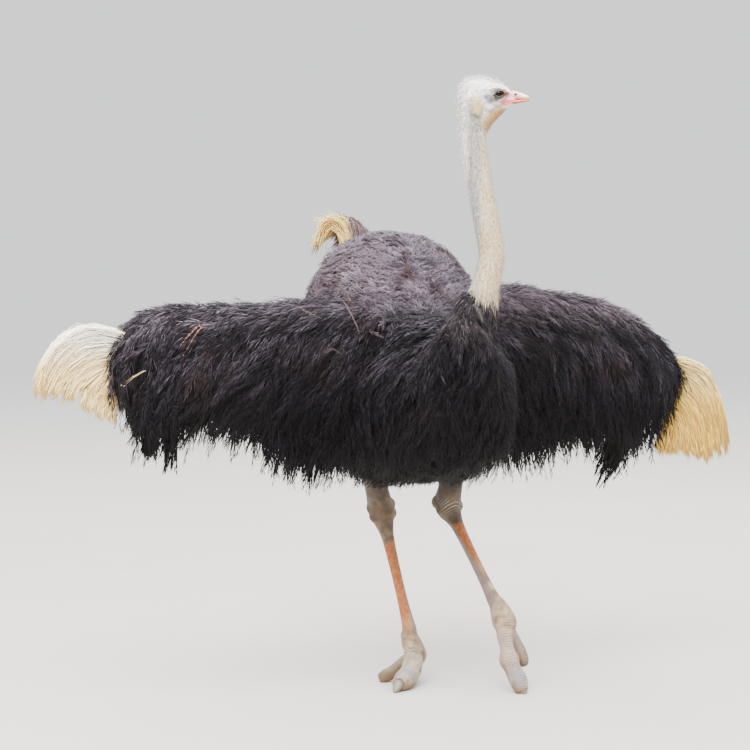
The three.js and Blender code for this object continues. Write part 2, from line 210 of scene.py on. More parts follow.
def to_mesh(name: str, shape: Shape) -> bpy.types.Object:
    """A linked, smooth-shaded mesh object of the surface.

    Args:
        name: the object's name.
        shape: the surface.

    Returns:
        The object.
    """
    mesh = bpy.data.meshes.new(name)
    sides = shape.faces.shape[1]
    mesh.vertices.add(len(shape.points))
    mesh.vertices.foreach_set("co", shape.points.astype(np.float32).ravel())
    mesh.loops.add(shape.faces.size)
    mesh.loops.foreach_set("vertex_index", shape.faces.astype(np.int32).ravel())
    mesh.polygons.add(len(shape.faces))
    mesh.polygons.foreach_set("loop_start", np.arange(0, shape.faces.size, sides, dtype=np.int32))
    mesh.polygons.foreach_set("use_smooth", np.ones(len(shape.faces), dtype=bool))
    mesh.update(calc_edges=True)
    obj = bpy.data.objects.new(name, mesh)
    bpy.context.scene.collection.objects.link(obj)
    return obj


def to_shape(obj: bpy.types.Object, discard: bool = True) -> Shape:
    """The object's surface with its modifiers applied, as triangles or quads.

    Args:
        obj: the mesh object.
        discard: whether the object is removed afterwards.

    Returns:
        Its surface.
    """
    graph = bpy.context.evaluated_depsgraph_get()
    mesh = obj.evaluated_get(graph).to_mesh()
    points = np.empty(len(mesh.vertices) * 3, dtype=np.float32)
    mesh.vertices.foreach_get("co", points)
    if len(mesh.polygons) and len(mesh.loops) == 4 * len(mesh.polygons):
        faces = np.empty(len(mesh.loops), dtype=np.int32)
        mesh.loops.foreach_get("vertex_index", faces)
        faces = faces.reshape(-1, 4)
    else:
        mesh.calc_loop_triangles()
        faces = np.empty(len(mesh.loop_triangles) * 3, dtype=np.int32)
        mesh.loop_triangles.foreach_get("vertices", faces)
        faces = faces.reshape(-1, 3)
    obj.evaluated_get(graph).to_mesh_clear()
    if discard:
        bpy.data.objects.remove(obj)
    return Shape(points.reshape(-1, 3).astype(float), faces.astype(np.int64))


def worked(shape: Shape, kind: str, **settings: object) -> Shape:
    """The surface after one modifier.

    Args:
        shape: the surface.
        kind: the modifier's type.
        **settings: its properties.

    Returns:
        The new surface.
    """
    obj = to_mesh("work", shape)
    step = obj.modifiers.new("step", kind)
    for key, value in settings.items():
        setattr(step, key, value)
    return to_shape(obj)


def fuse(shapes: Sequence[Shape], voxel: float, rounds: int) -> Shape:
    """The shapes melted into one closed surface of even quads.

    Args:
        shapes: closed surfaces that overlap.
        voxel: size of the new quads.
        rounds: how many times the result is relaxed.

    Returns:
        The surface around all of them.
    """
    return worked(join(shapes), "REMESH", mode="VOXEL", voxel_size=voxel).relax(rounds)


def combine(base: Shape, tool: Shape, operation: str) -> Shape:
    """The union or difference of two closed surfaces.

    Args:
        base: the first surface.
        tool: the one that is joined or taken away.
        operation: UNION or DIFFERENCE.

    Returns:
        The new surface.
    """
    other = to_mesh("tool", tool)
    result = worked(base, "BOOLEAN", operation=operation, solver="MANIFOLD", object=other)
    bpy.data.objects.remove(other)
    return result


def thin(shape: Shape, share: float) -> Shape:
    """The surface with only a share of its triangles, kept where it bends most."""
    return worked(Shape(shape.points, shape.triangles()), "DECIMATE", ratio=share)


def tube(rings: np.ndarray) -> Shape:
    """A closed surface through rings of points, pinched at both ends.

    Args:
        rings: the rings in order, each with the same number of points.

    Returns:
        The surface, facing out.
    """
    steps, sides = rings.shape[:2]
    caps = rings[[0, -1]].mean(axis=1)
    points = np.vstack([rings.reshape(-1, 3), caps])
    index = np.arange(steps * sides).reshape(steps, sides)
    turned = np.roll(index, -1, axis=1)
    walls = np.stack([index[:-1], index[1:], turned[1:], turned[:-1]], axis=-1).reshape(-1, 4)
    hub = steps * sides
    first = np.stack([index[0], turned[0], np.full(sides, hub)], axis=1)
    end = np.stack([turned[-1], index[-1], np.full(sides, hub + 1)], axis=1)
    return outward(Shape(points, np.vstack([Shape(points, walls).triangles(), first, end])))


def loft(rows: Sequence[Row], sides: int, steps: int, upright: np.ndarray = UP) -> Shape:
    """A closed body swept through stations.

    Args:
        rows: x, y, z, half width, half height and, if wanted, boxiness (2 is an ellipse).
        sides: corners round each section.
        steps: sections along the path.
        upright: the direction that the sections' height stays nearest to.

    Returns:
        The body, in quads with pinched ends.
    """
    table = np.array([list(row) + [2.0] * (6 - len(row)) for row in rows])
    t = np.linspace(0.0, 1.0, steps)
    values = catmull(table, t)
    step = 1e-3
    ahead, behind = (catmull(table, np.clip(t + off, 0.0, 1.0))[:, :3] for off in (step, -step))
    along = unit(ahead - behind)
    high = unit(upright - dots(along, upright[None]) * along)
    wide = np.cross(along, high)
    turn = np.linspace(0.0, 2 * math.pi, sides, endpoint=False)[None]
    power = 2.0 / values[:, 5:6]
    boxy = [np.sign(v) * np.abs(v) ** power for v in (np.cos(turn), np.sin(turn))]
    rings = values[:, None, :3] + (boxy[0] * values[:, 4:5])[..., None] * high[:, None]
    return tube(rings + (boxy[1] * values[:, 3:4])[..., None] * wide[:, None])


def above(shape: Shape, level: float) -> Shape:
    """The faces of the surface that lie wholly above a level.

    Args:
        shape: the surface.
        level: the level.

    Returns:
        That part of the surface.
    """
    faces = shape.triangles()
    faces = faces[shape.points[faces][:, :, 2].min(axis=1) > level]
    used, index = np.unique(faces, return_inverse=True)
    return Shape(shape.points[used], index.reshape(-1, 3))


def outward(shape: Shape) -> Shape:
    """The closed surface with its faces pointing out.

    Args:
        shape: the surface.

    Returns:
        The same surface, turned if it was inside out.
    """
    a, b, c = (shape.points[shape.faces[:, k]] for k in range(3))
    volume = np.sum(a * np.cross(b, c))
    return shape if volume > 0 else Shape(shape.points, shape.faces[:, ::-1])


def ball(centre: np.ndarray, radius: float, rings: int = 24) -> Shape:
    """A round ball.

    Args:
        centre: its middle.
        radius: its radius.
        rings: sections from pole to pole.

    Returns:
        The ball.
    """
    rows = []
    for a in np.linspace(0.03, math.pi - 0.03, rings):
        rows.append((*(centre - math.cos(a) * radius * UP), radius * math.sin(a), radius * math.sin(a)))
    return loft(rows, 2 * rings, 2 * rings, AHEAD)


# ---- landmarks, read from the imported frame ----


def middle(node: str) -> np.ndarray:
    """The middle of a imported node's box."""
    low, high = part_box(node)
    return np.array((low + high) / 2)


class Side(Enum):
    """The bird's own left and right, with the sign of X there."""

    RIGHT = -1
    LEFT = 1

    @property
    def word(self) -> str:
        """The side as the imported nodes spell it."""
        return self.name.lower()


@dataclass
class Bird:
    """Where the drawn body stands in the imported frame, and the head's own axes."""

    belly_top: float = 1.040
    belly_front: float = -0.300
    eye_forward: float = 0.056
    eye_up: float = 0.008
    shift: np.ndarray = field(init=False)
    cranium: np.ndarray = field(init=False)
    forward: np.ndarray = field(init=False)
    left: np.ndarray = field(init=False)

    def __post_init__(self) -> None:
        """Reads the belly's and the eyes' places."""
        low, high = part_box("belly")
        self.shift = np.array([(low.x + high.x) / 2, low.y - self.belly_front, high.z - self.belly_top])
        eyes = {side: middle(f"eye_{side.word}") - self.shift for side in Side}
        self.left = unit(eyes[Side.LEFT] - eyes[Side.RIGHT])
        self.forward = np.cross(self.left, UP)
        between = (eyes[Side.LEFT] + eyes[Side.RIGHT]) / 2
        self.cranium = between - self.eye_forward * self.forward - self.eye_up * UP

    def on_head(self, forward: float, left: float, up: float) -> np.ndarray:
        """A point of the head's frame in the body's frame."""
        return self.cranium + forward * self.forward + left * self.left + up * UP

    def head_axes(self, points: np.ndarray) -> np.ndarray:
        """Points of the body's frame as forward, left and up on the head."""
        return (points - self.cranium) @ np.stack([self.forward, self.left, UP], axis=1)

    def nodes(self, names: Sequence[str]) -> list[Shape]:
        """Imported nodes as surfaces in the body's frame, grown a little so that neighbours touch.

        Args:
            names: the nodes.

        Returns:
            One surface for each.
        """
        shapes = []
        for name in names:
            shape = to_shape(bpy.data.objects[name], discard=False)
            corners, index = np.unique(np.round(shape.points, 5), axis=0, return_inverse=True)
            welded = Shape(corners - self.shift, index.reshape(-1)[shape.faces])
            shapes.append(Shape(welded.points + 0.001 * welded.normals(), welded.faces))
        return shapes


# ---- shader graphs ----

Value = Union["Port", float, tuple]
MIX_FACTOR, MIX_A, MIX_B = 0, 6, 7  # inputs of the mixing node that take colours
MIX_RESULT = 2  # its output


class Port:
    """One output of a finish's graph. Arithmetic on it adds Math nodes."""

    def __init__(self, graph: "Graph", socket: bpy.types.NodeSocket) -> None:
        """Wraps a socket of the graph."""
        self.graph = graph
        self.socket = socket

    def _math(self, operation: str, *values: Value) -> "Port":
        """A Math node on the values."""
        return self.graph.node("ShaderNodeMath", {"operation": operation}, dict(enumerate(values)))

    def __add__(self, other: Value) -> "Port":
        """The sum."""
        return self._math("ADD", self, other)

    def __radd__(self, other: Value) -> "Port":
        """The sum, from the right."""
        return self._math("ADD", other, self)

    def __sub__(self, other: Value) -> "Port":
        """The difference."""
        return self._math("SUBTRACT", self, other)

    def __rsub__(self, other: Value) -> "Port":
        """The difference, from the right."""
        return self._math("SUBTRACT", other, self)

    def __mul__(self, other: Value) -> "Port":
        """The product."""
        return self._math("MULTIPLY", self, other)

    def __rmul__(self, other: Value) -> "Port":
        """The product, from the right."""
        return self._math("MULTIPLY", other, self)

    def __pow__(self, other: Value) -> "Port":
        """The power."""
        return self._math("POWER", self, other)

    def at_least(self, other: Value) -> "Port":
        """The larger of the two."""
        return self._math("MAXIMUM", self, other)

    def wave(self) -> "Port":
        """The sine."""
        return self._math("SINE", self)

    def rise(self, low: float, high: float) -> "Port":
        """A smooth step from 0 at low to 1 at high; low may be the larger.

        Args:
            low: where the step starts.
            high: where it ends.

        Returns:
            The step.
        """
        start, end = (0.0, 1.0) if low < high else (1.0, 0.0)
        values = {"Value": self, "From Min": min(low, high), "From Max": max(low, high)}
        values |= {"To Min": start, "To Max": end}
        return self.graph.node("ShaderNodeMapRange", {"interpolation_type": "SMOOTHSTEP"}, values)


class Graph:
    """The node graph of one finish, around a Principled shader."""

    def __init__(self, name: str, **fixed: Value) -> None:
        """Starts a material.

        Args:
            name: the material's name.
            **fixed: values set on the shader's own sockets, with _ for a space.
        """
        self.material = bpy.data.materials.new(name)
        self.material.use_nodes = True
        self.tree = self.material.node_tree
        self.shader = self.tree.nodes["Principled BSDF"]
        self.place = self.node("ShaderNodeTexCoord", {}, {}, "Object")
        for key, value in fixed.items():
            self.feed(key.replace("_", " "), value)

    def node(self, kind: str, settings: dict, values: dict, output: Union[int, str] = 0) -> Port:
        """Adds a node.

        Args:
            kind: the node's type.
            settings: properties set before its sockets are used.
            values: numbers, tuples or ports by the socket's index or name.
            output: the output wanted.

        Returns:
            That output.
        """
        node = self.tree.nodes.new(kind)
        for key, value in settings.items():
            setattr(node, key, value)
        for key, value in values.items():
            if isinstance(value, Port):
                self.tree.links.new(value.socket, node.inputs[key])
            else:
                node.inputs[key].default_value = value
        return Port(self, node.outputs[output])

    def feed(self, socket: str, value: Value) -> None:
        """Gives one of the shader's own sockets a value or a link.

        Args:
            socket: the socket's name.
            value: a number, a tuple or a port.
        """
        if isinstance(value, Port):
            self.tree.links.new(value.socket, self.shader.inputs[socket])
        else:
            self.shader.inputs[socket].default_value = value

    def cover(self, factor: Port, shader: Port) -> None:
        """Lays another shader over the surface, where the factor is 1.

        Args:
            factor: the mask.
            shader: the upper shader.
        """
        mixer = self.tree.nodes.new("ShaderNodeMixShader")
        output = self.tree.nodes["Material Output"]
        self.tree.links.new(factor.socket, mixer.inputs[0])
        self.tree.links.new(self.shader.outputs[0], mixer.inputs[1])
        self.tree.links.new(shader.socket, mixer.inputs[2])
        self.tree.links.new(mixer.outputs[0], output.inputs["Surface"])

    def dressed(self, colour: Port, roughness: Port) -> bpy.types.Material:
        """The material, with its colour and roughness given.

        Args:
            colour: its colour.
            roughness: its roughness.

        Returns:
            The material.
        """
        self.feed("Base Color", colour)
        self.feed("Roughness", roughness)
        return self.material

    def mix(self, factor: Value, a: Value, b: Value) -> Port:
        """A colour between a and b."""
        values = {MIX_FACTOR: factor, MIX_A: a, MIX_B: b}
        return self.node("ShaderNodeMix", {"data_type": "RGBA"}, values, MIX_RESULT)

    def shade(self, colour: Value, amount: Value) -> Port:
        """The colour made darker or lighter."""
        values = {"Vector": colour, "Scale": amount}
        return self.node("ShaderNodeVectorMath", {"operation": "SCALE"}, values)

    def vector(self, operation: str, *values: Value, output: str = "Vector") -> Port:
        """A Vector Math node on the values."""
        return self.node("ShaderNodeVectorMath", {"operation": operation}, dict(enumerate(values)), output)

    def length(self, vector: Port) -> Port:
        """The length of a vector."""
        return self.vector("LENGTH", vector, output="Value")

    def from_point(self, point: np.ndarray) -> Port:
        """The place measured from a point."""
        return self.vector("SUBTRACT", self.place, tuple(point))

    def along(self, point: np.ndarray, axis: np.ndarray) -> Port:
        """The distance from the point along an axis."""
        return self.vector("DOT_PRODUCT", self.from_point(point), tuple(axis), output="Value")

    def spot(self, point: np.ndarray, full: float, none: float) -> Port:
        """A round mask: 1 within full of the point and 0 beyond none."""
        return self.length(self.from_point(point)).rise(none, full)

    def band(self, point: np.ndarray, across: np.ndarray, full: float, none: float) -> Port:
        """A stripe through the point: 1 within full of its middle plane and 0 beyond none."""
        off = self.along(point, unit(across))
        return (off * off).rise(none * none, full * full)

    def off_line(self, point: np.ndarray, way: np.ndarray) -> Port:
        """The distance from a straight line."""
        return self.length(self.vector("CROSS_PRODUCT", self.from_point(point), tuple(way)))

    def stretch(self, scale: tuple) -> Port:
        """The place with each axis scaled."""
        return self.vector("MULTIPLY", self.place, scale)

    def noise(self, scale: float, detail: float = 2.0, place: Port | None = None) -> Port:
        """Soft noise from 0 to 1."""
        values = {"Vector": place or self.place, "Scale": scale, "Detail": detail}
        return self.node("ShaderNodeTexNoise", {}, values)

    def cells(self, scale: float) -> Port:
        """Distance to the edge of small cells, such as net scales."""
        values = {"Vector": self.place, "Scale": scale}
        return self.node("ShaderNodeTexVoronoi", {"feature": "DISTANCE_TO_EDGE"}, values, "Distance")

    def trait(self, name: str) -> Port:
        """A number that the mesh carries on its points."""
        return self.node("ShaderNodeAttribute", {"attribute_name": name}, {}, "Fac")

    def bump(self, height: Port, depth: float) -> None:
        """Raises the surface by height times depth."""
        values = {"Height": height, "Distance": depth, "Strength": 1.0}
        self.feed("Normal", self.node("ShaderNodeBump", {}, values, "Normal"))


def paint(red: int, green: int, blue: int) -> tuple:
    """A colour named by its screen values, as the shader's linear one."""
    channels = [v / 255 for v in (red, green, blue)]
    return tuple(v / 12.92 if v <= 0.04045 else ((v + 0.055) / 1.055) ** 2.4 for v in channels) + (1.0,)


# ---- tufts and plumes ----

SECTIONS = {1: ((0.40, 1.0),), 2: ((0.22, 0.9), (0.60, 1.0))}  # place along a tuft and share of its width
PATCH = 0.003  # size of one tuft on the unwrapped skin


@dataclass
class Tufts:
    """Thin closed tufts: each follows a curve of three points and is pointed at both ends.

    Attributes:
        ends: the curves' first, control and last points.
        half: half a tuft's width, as a vector across it.
        tone: how light each tuft is, from 0 to 1.
        rings: sections between the ends, 1 or 2.
        keel: height of the ridge as a part of the half width.
    """

    ends: list[np.ndarray]
    half: np.ndarray
    tone: np.ndarray
    rings: int = 1
    keel: float = 0.5

    def surface(self) -> tuple[Shape, np.ndarray, np.ndarray]:
        """The tufts' mesh, with each point's place across and along its tuft.

        Returns:
            The mesh, each point's place across and along its tuft, and its tone.
        """
        points = [self.ends[0]]
        place = [(0.5, 0.0)]
        for s, wide in SECTIONS[self.rings]:
            centre = bezier(self.ends, s)
            side = self.half * wide
            ridge = unit(np.cross(self.half, bezier_way(self.ends, s)))
            ridge = ridge * np.linalg.norm(side, axis=1, keepdims=True) * self.keel
            points += [centre - side, centre + side, centre + ridge]
            place += [(0.0, s), (1.0, s), (0.5, s + 0.1)]
        points.append(self.ends[2])
        place.append((0.5, 1.0))
        last = 3 * self.rings + 1
        faces = []
        for i, j in ((0, 1), (1, 2), (2, 0)):
            faces += [(1 + j, 0, 1 + i), (last - 3 + i, last, last - 3 + j)]
            for k in range(1, last - 3, 3):
                faces += [(k + i, k + 3 + i, k + 3 + j), (k + i, k + 3 + j, k + j)]
        count = len(self.tone)
        corners = np.stack(points, axis=1).reshape(-1, 3)
        starts = np.arange(count)[:, None, None] * (last + 1)
        index = (np.array(faces)[None] + starts).reshape(-1, 3)
        return Shape(corners, index), np.tile(np.array(place), (count, 1)), np.repeat(self.tone, last + 1)


@dataclass
class Plumes:
    """Loose feathers: a shaft along a curve, with barbs on both sides that lean towards its tip.

    Attributes:
        ends: the shafts' three control points.
        face: the direction each plume faces.
        width: length of its longest barbs.
        tone: how light each plume is.
        barbs: barbs on each side.
        spread: angle of the lowest barbs from the shaft, in radians.
        thick: half width of a barb.
        sag: how far barbs droop for each length.
        fluff: how far they stray.
        rings: sections of each barb.
    """

    ends: list[np.ndarray]
    face: np.ndarray
    width: np.ndarray
    tone: np.ndarray
    barbs: int = 14
    spread: float = 0.55
    thick: float = 0.0015
    sag: float = 0.25
    fluff: float = 0.10
    rings: int = 1

    def tufts(self, rng: np.random.Generator) -> Tufts:
        """The shafts and barbs as tufts.

        Args:
            rng: the seeded source of chance.

        Returns:
            One tuft for each barb and shaft.
        """
        count = len(self.tone)
        size = (count, 2 * self.barbs, 1)
        s = np.linspace(0.1, 0.97, self.barbs).repeat(2)[None, :, None] + rng.uniform(-0.03, 0.03, size)
        hand = np.tile([1.0, -1.0], self.barbs)[None, :, None]
        ends = [end[:, None] for end in self.ends]
        root = bezier(ends, s)
        way = bezier_way(ends, s)
        face = self.face[:, None]
        across = unit(np.cross(np.broadcast_to(face, way.shape), way)) * hand
        lean = self.spread * (1.0 - 0.6 * s) * rng.uniform(0.7, 1.3, size)
        stray = rng.normal(0.0, self.fluff, (count, 2 * self.barbs, 3))
        aim = unit(way * np.cos(lean) + across * np.sin(lean) + stray)
        long = self.width[:, None, None] * (0.5 + 0.5 * np.sin(math.pi * np.clip(s, 0, 1) ** 0.8))
        long = long * rng.uniform(0.75, 1.2, size)
        bend = root + aim * long * 0.5
        tip = root + unit(aim + 0.35 * way - self.sag * UP + 0.6 * stray) * long
        half = unit(np.cross(aim, np.broadcast_to(face, aim.shape) + 0.5 * stray)) * self.thick
        tone = np.clip(self.tone[:, None] + rng.normal(0.0, 0.08, size[:2]), 0.0, 1.0)
        shaft_half = unit(np.cross(self.ends[2] - self.ends[0], self.face)) * self.thick * 0.8
        flat = [array.reshape(-1, 3) for array in (root, bend, tip)]
        ends_all = [np.vstack(pair) for pair in zip(flat, self.ends)]
        halves = np.vstack([half.reshape(-1, 3), shaft_half])
        tones = np.concatenate([tone.ravel(), np.clip(self.tone + 0.12, 0.0, 1.0)])
        return Tufts(ends_all, halves, tones, self.rings)


def merge(parts: Sequence[Tufts]) -> Tufts:
    """Several sets of tufts with equal rings as one.

    Args:
        parts: the sets.

    Returns:
        One set.
    """
    ends = [np.vstack([part.ends[k] for part in parts]) for k in range(3)]
    half = np.vstack([part.half for part in parts])
    return Tufts(ends, half, np.concatenate([part.tone for part in parts]), parts[0].rings)


@dataclass
class Piece:
    """A finished mesh of the model, on its finish, carrying a slot name."""

    name: str
    slot: str
    finish: bpy.types.Material
    replaced: tuple[str, ...] = ()

    def place(self, obj: bpy.types.Object) -> None:
        """Dresses the object, rides it on the bird and reports it.

        Args:
            obj: the object.
        """
        obj.data.materials.append(self.finish)
        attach(obj, "root")
        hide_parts(*self.replaced)
        obj.data.calc_loop_triangles()
        LOG.info("%s: %d triangles", self.name, len(obj.data.loop_triangles))

    def from_shape(self, shape: Shape, bird: Bird, traits: dict[str, np.ndarray] | None = None) -> None:
        """Makes the piece of a surface.

        Args:
            shape: the surface, in the body's frame.
            bird: the landmarks.
            traits: numbers for the finish to read, one for each point.
        """
        obj = to_mesh(self.name, Shape(shape.points + bird.shift, shape.faces))
        self.carry(obj, traits or {})
        self.place(obj)

    def carry(self, obj: bpy.types.Object, traits: dict[str, np.ndarray]) -> None:
        """Stores numbers on the mesh's points.

        Args:
            obj: the mesh object.
            traits: numbers by name, one for each point.
        """
        for name, values in traits.items():
            trait = obj.data.attributes.new(name, "FLOAT", "POINT")
            trait.data.foreach_set("value", values.astype(np.float32))

    def from_tufts(self, tufts: Tufts, bird: Bird, chart: Chart) -> None:
        """Makes a coat piece, with its OFBake map and its traits tone and reach.

        Args:
            tufts: the tufts, in the body's frame.
            bird: the landmarks.
            chart: gives a root's place on the unwrapped skin, each way from 0 to 1.
        """
        shape, place, tone = tufts.surface()
        obj = to_mesh(self.name, Shape(shape.points + bird.shift, shape.faces))
        roots = np.clip(chart(tufts.ends[0]), 0.0, 1.0) * (1.0 - 4 * PATCH) + 2 * PATCH
        spots = np.repeat(roots, len(tone) // len(roots), axis=0) + PATCH * (place - 0.5)
        layer = obj.data.uv_layers.new(name="OFBake")
        layer.data.foreach_set("uv", spots[shape.faces.ravel()].astype(np.float32).ravel())
        self.carry(obj, {"tone": tone, "reach": place[:, 1]})
        self.place(obj)


# ---- the plumage's outer shape ----

Share = Callable[[np.ndarray, np.ndarray], np.ndarray]
Lie = Callable[[np.ndarray, np.ndarray], np.ndarray]


class Envelope:
    """The outer shape of the plumage as one even surface, on which feather tips are laid.

    Attributes:
        start: how far below the surface its thickness is measured from.
        unknown: the thickness where nothing lies below.
    """

    start: float = 0.004
    unknown: float = 0.02

    def __init__(self, shape: Shape) -> None:
        """Measures the surface's normals and how thick the body is below each point.

        Args:
            shape: the surface.
        """
        self.shape = shape
        self.normal = shape.normals()
        self.faces = shape.triangles()
        self.tree = shape.tree()
        self.thick = self.depths()

    def depths(self) -> np.ndarray:
        """The distance through the body below each point.

        Returns:
            One distance for each point.
        """
        found = []
        starts = self.shape.points - self.start * self.normal
        for point, normal in zip(starts.tolist(), self.normal.tolist()):
            distance = self.tree.ray_cast(Vector(point), -Vector(normal))[3]
            found.append(distance if distance is not None else self.unknown)
        return np.array(found)

    def sample(self, count: int, share: Share, rng: np.random.Generator) -> tuple[np.ndarray, ...]:
        """Scatters places evenly over part of the surface.

        Args:
            count: how many.
            share: how much of the plumage each place takes, from 0 to 1, by point and normal.
            rng: the seeded source of chance.

        Returns:
            Points, normals and thicknesses.
        """
        corners = self.shape.points[self.faces]
        area = np.linalg.norm(np.cross(corners[:, 1] - corners[:, 0], corners[:, 2] - corners[:, 0]), axis=1)
        area = area * share(corners.mean(axis=1), self.normal[self.faces].mean(axis=1))
        total = np.cumsum(area)
        steps = (np.arange(count) + rng.uniform(0, 1, count)) / count * total[-1]
        face = self.faces[np.searchsorted(total, steps).clip(0, len(total) - 1)]
        weight = rng.dirichlet((1.0, 1.0, 1.0), count)[..., None]
        points = np.sum(self.shape.points[face] * weight, axis=1)
        normals = unit(np.sum(self.normal[face] * weight, axis=1))
        return points, normals, np.sum(self.thick[face] * weight[..., 0], axis=1)

    def under(self, points: np.ndarray, depth: np.ndarray) -> np.ndarray:
        """The points moved to a depth below the nearest place of the surface.

        Args:
            points: the places.
            depth: how deep each goes.

        Returns:
            The new places.
        """
        sunk = []
        for point, down in zip(points.tolist(), depth.tolist()):
            near, normal, _, _ = self.tree.find_nearest(Vector(point))
            sunk.append(near - normal * down)
        return np.array(sunk)

    def strands(
        self, spots: tuple[np.ndarray, ...], way: np.ndarray, long: np.ndarray, deep: float
    ) -> list[np.ndarray]:
        """Curves that end at the spots, come from upstream and sink to their roots.

        Args:
            spots: points, normals and thicknesses, from sample.
            way: the direction the feathers run in at each spot.
            long: their lengths.
            deep: the depth of the roots where the body is thick enough.

        Returns:
            The curves' three control points.
        """
        tips, _, thick = spots
        depth = np.minimum(deep, 0.4 * thick)
        upstream = tips - way * long[:, None]
        roots = self.under(upstream, depth)
        halfway = self.under((upstream + tips) / 2, 0.25 * depth)
        return [roots, 2 * halfway - (roots + tips) / 2, tips]


# ---- flesh ----

WING_PARTS = ("shoulder", "forearm", "hand")
TRUNK_NODES = ("breast", "belly", "back", "rump", "neck_base", "tail_stump")
WING_NODES = tuple(f"wing_{side.word}_{part}" for side in Side for part in WING_PARTS)
FRINGE_NODES = ("breast_fringe",) + tuple(f"{name}_fringe" for name in WING_NODES)
LEG_PARTS = ("shin", "hock", "tarsus", "foot", "toe_inner", "toe_outer")
LEG_NODES = tuple(f"{part}_{side.word}" for side in Side for part in LEG_PARTS)
HEAD_NODES = ("neck_lower", "neck_middle", "neck_upper", "head")


@dataclass
class Eye:
    """One eye: its ball, its place in the head and the lids' opening."""

    side: Side
    bird: Bird
    radius: float = 0.0205
    pupil: float = 0.0078
    iris: float = 0.0142
    lid: float = 0.0030
    opening: tuple[float, float] = (0.0140, 0.0088)

    def __post_init__(self) -> None:
        """Works out the eye's axes: out of the head, towards the bill and up."""
        bird = self.bird
        self.centre = middle(f"eye_{self.side.word}") - bird.shift
        self.out = unit(self.side.value * bird.left + 0.10 * bird.forward - 0.02 * UP)
        ahead = unit(bird.forward - np.dot(bird.forward, self.out) * self.out)
        high = np.cross(ahead, self.out) * -self.side.value
        tilt = math.radians(9)
        self.ahead = math.cos(tilt) * ahead - math.sin(tilt) * high
        self.high = math.cos(tilt) * high + math.sin(tilt) * ahead

    def rim(self, turn: np.ndarray, grow: float = 0.0) -> np.ndarray:
        """Points of the almond opening, in the plane across the eye's axis.

        Args:
            turn: angles round the eye.
            grow: how much wider than the lids.

        Returns:
            One point for each angle.
        """
        wide = (self.opening[0] + grow) * np.cos(turn)
        flat = np.where(np.sin(turn) > 0, 0.72, 1.0)
        tall = (self.opening[1] + grow) * flat * np.sign(np.sin(turn)) * np.abs(np.sin(turn)) ** 1.2
        return wide[:, None] * self.ahead + tall[:, None] * self.high

    def cutter(self) -> Shape:
        """The almond bar that opens the lids.

        Returns:
            A closed surface.
        """
        rim = self.rim(np.linspace(0, 2 * math.pi, 56, endpoint=False))
        stations = ((0.7, 0.002), (1.0, 0.016), (1.12, 0.04))  # share of the rim, and how far out
        return tube(np.stack([self.centre + rim * wide + self.out * far for wide, far in stations]))


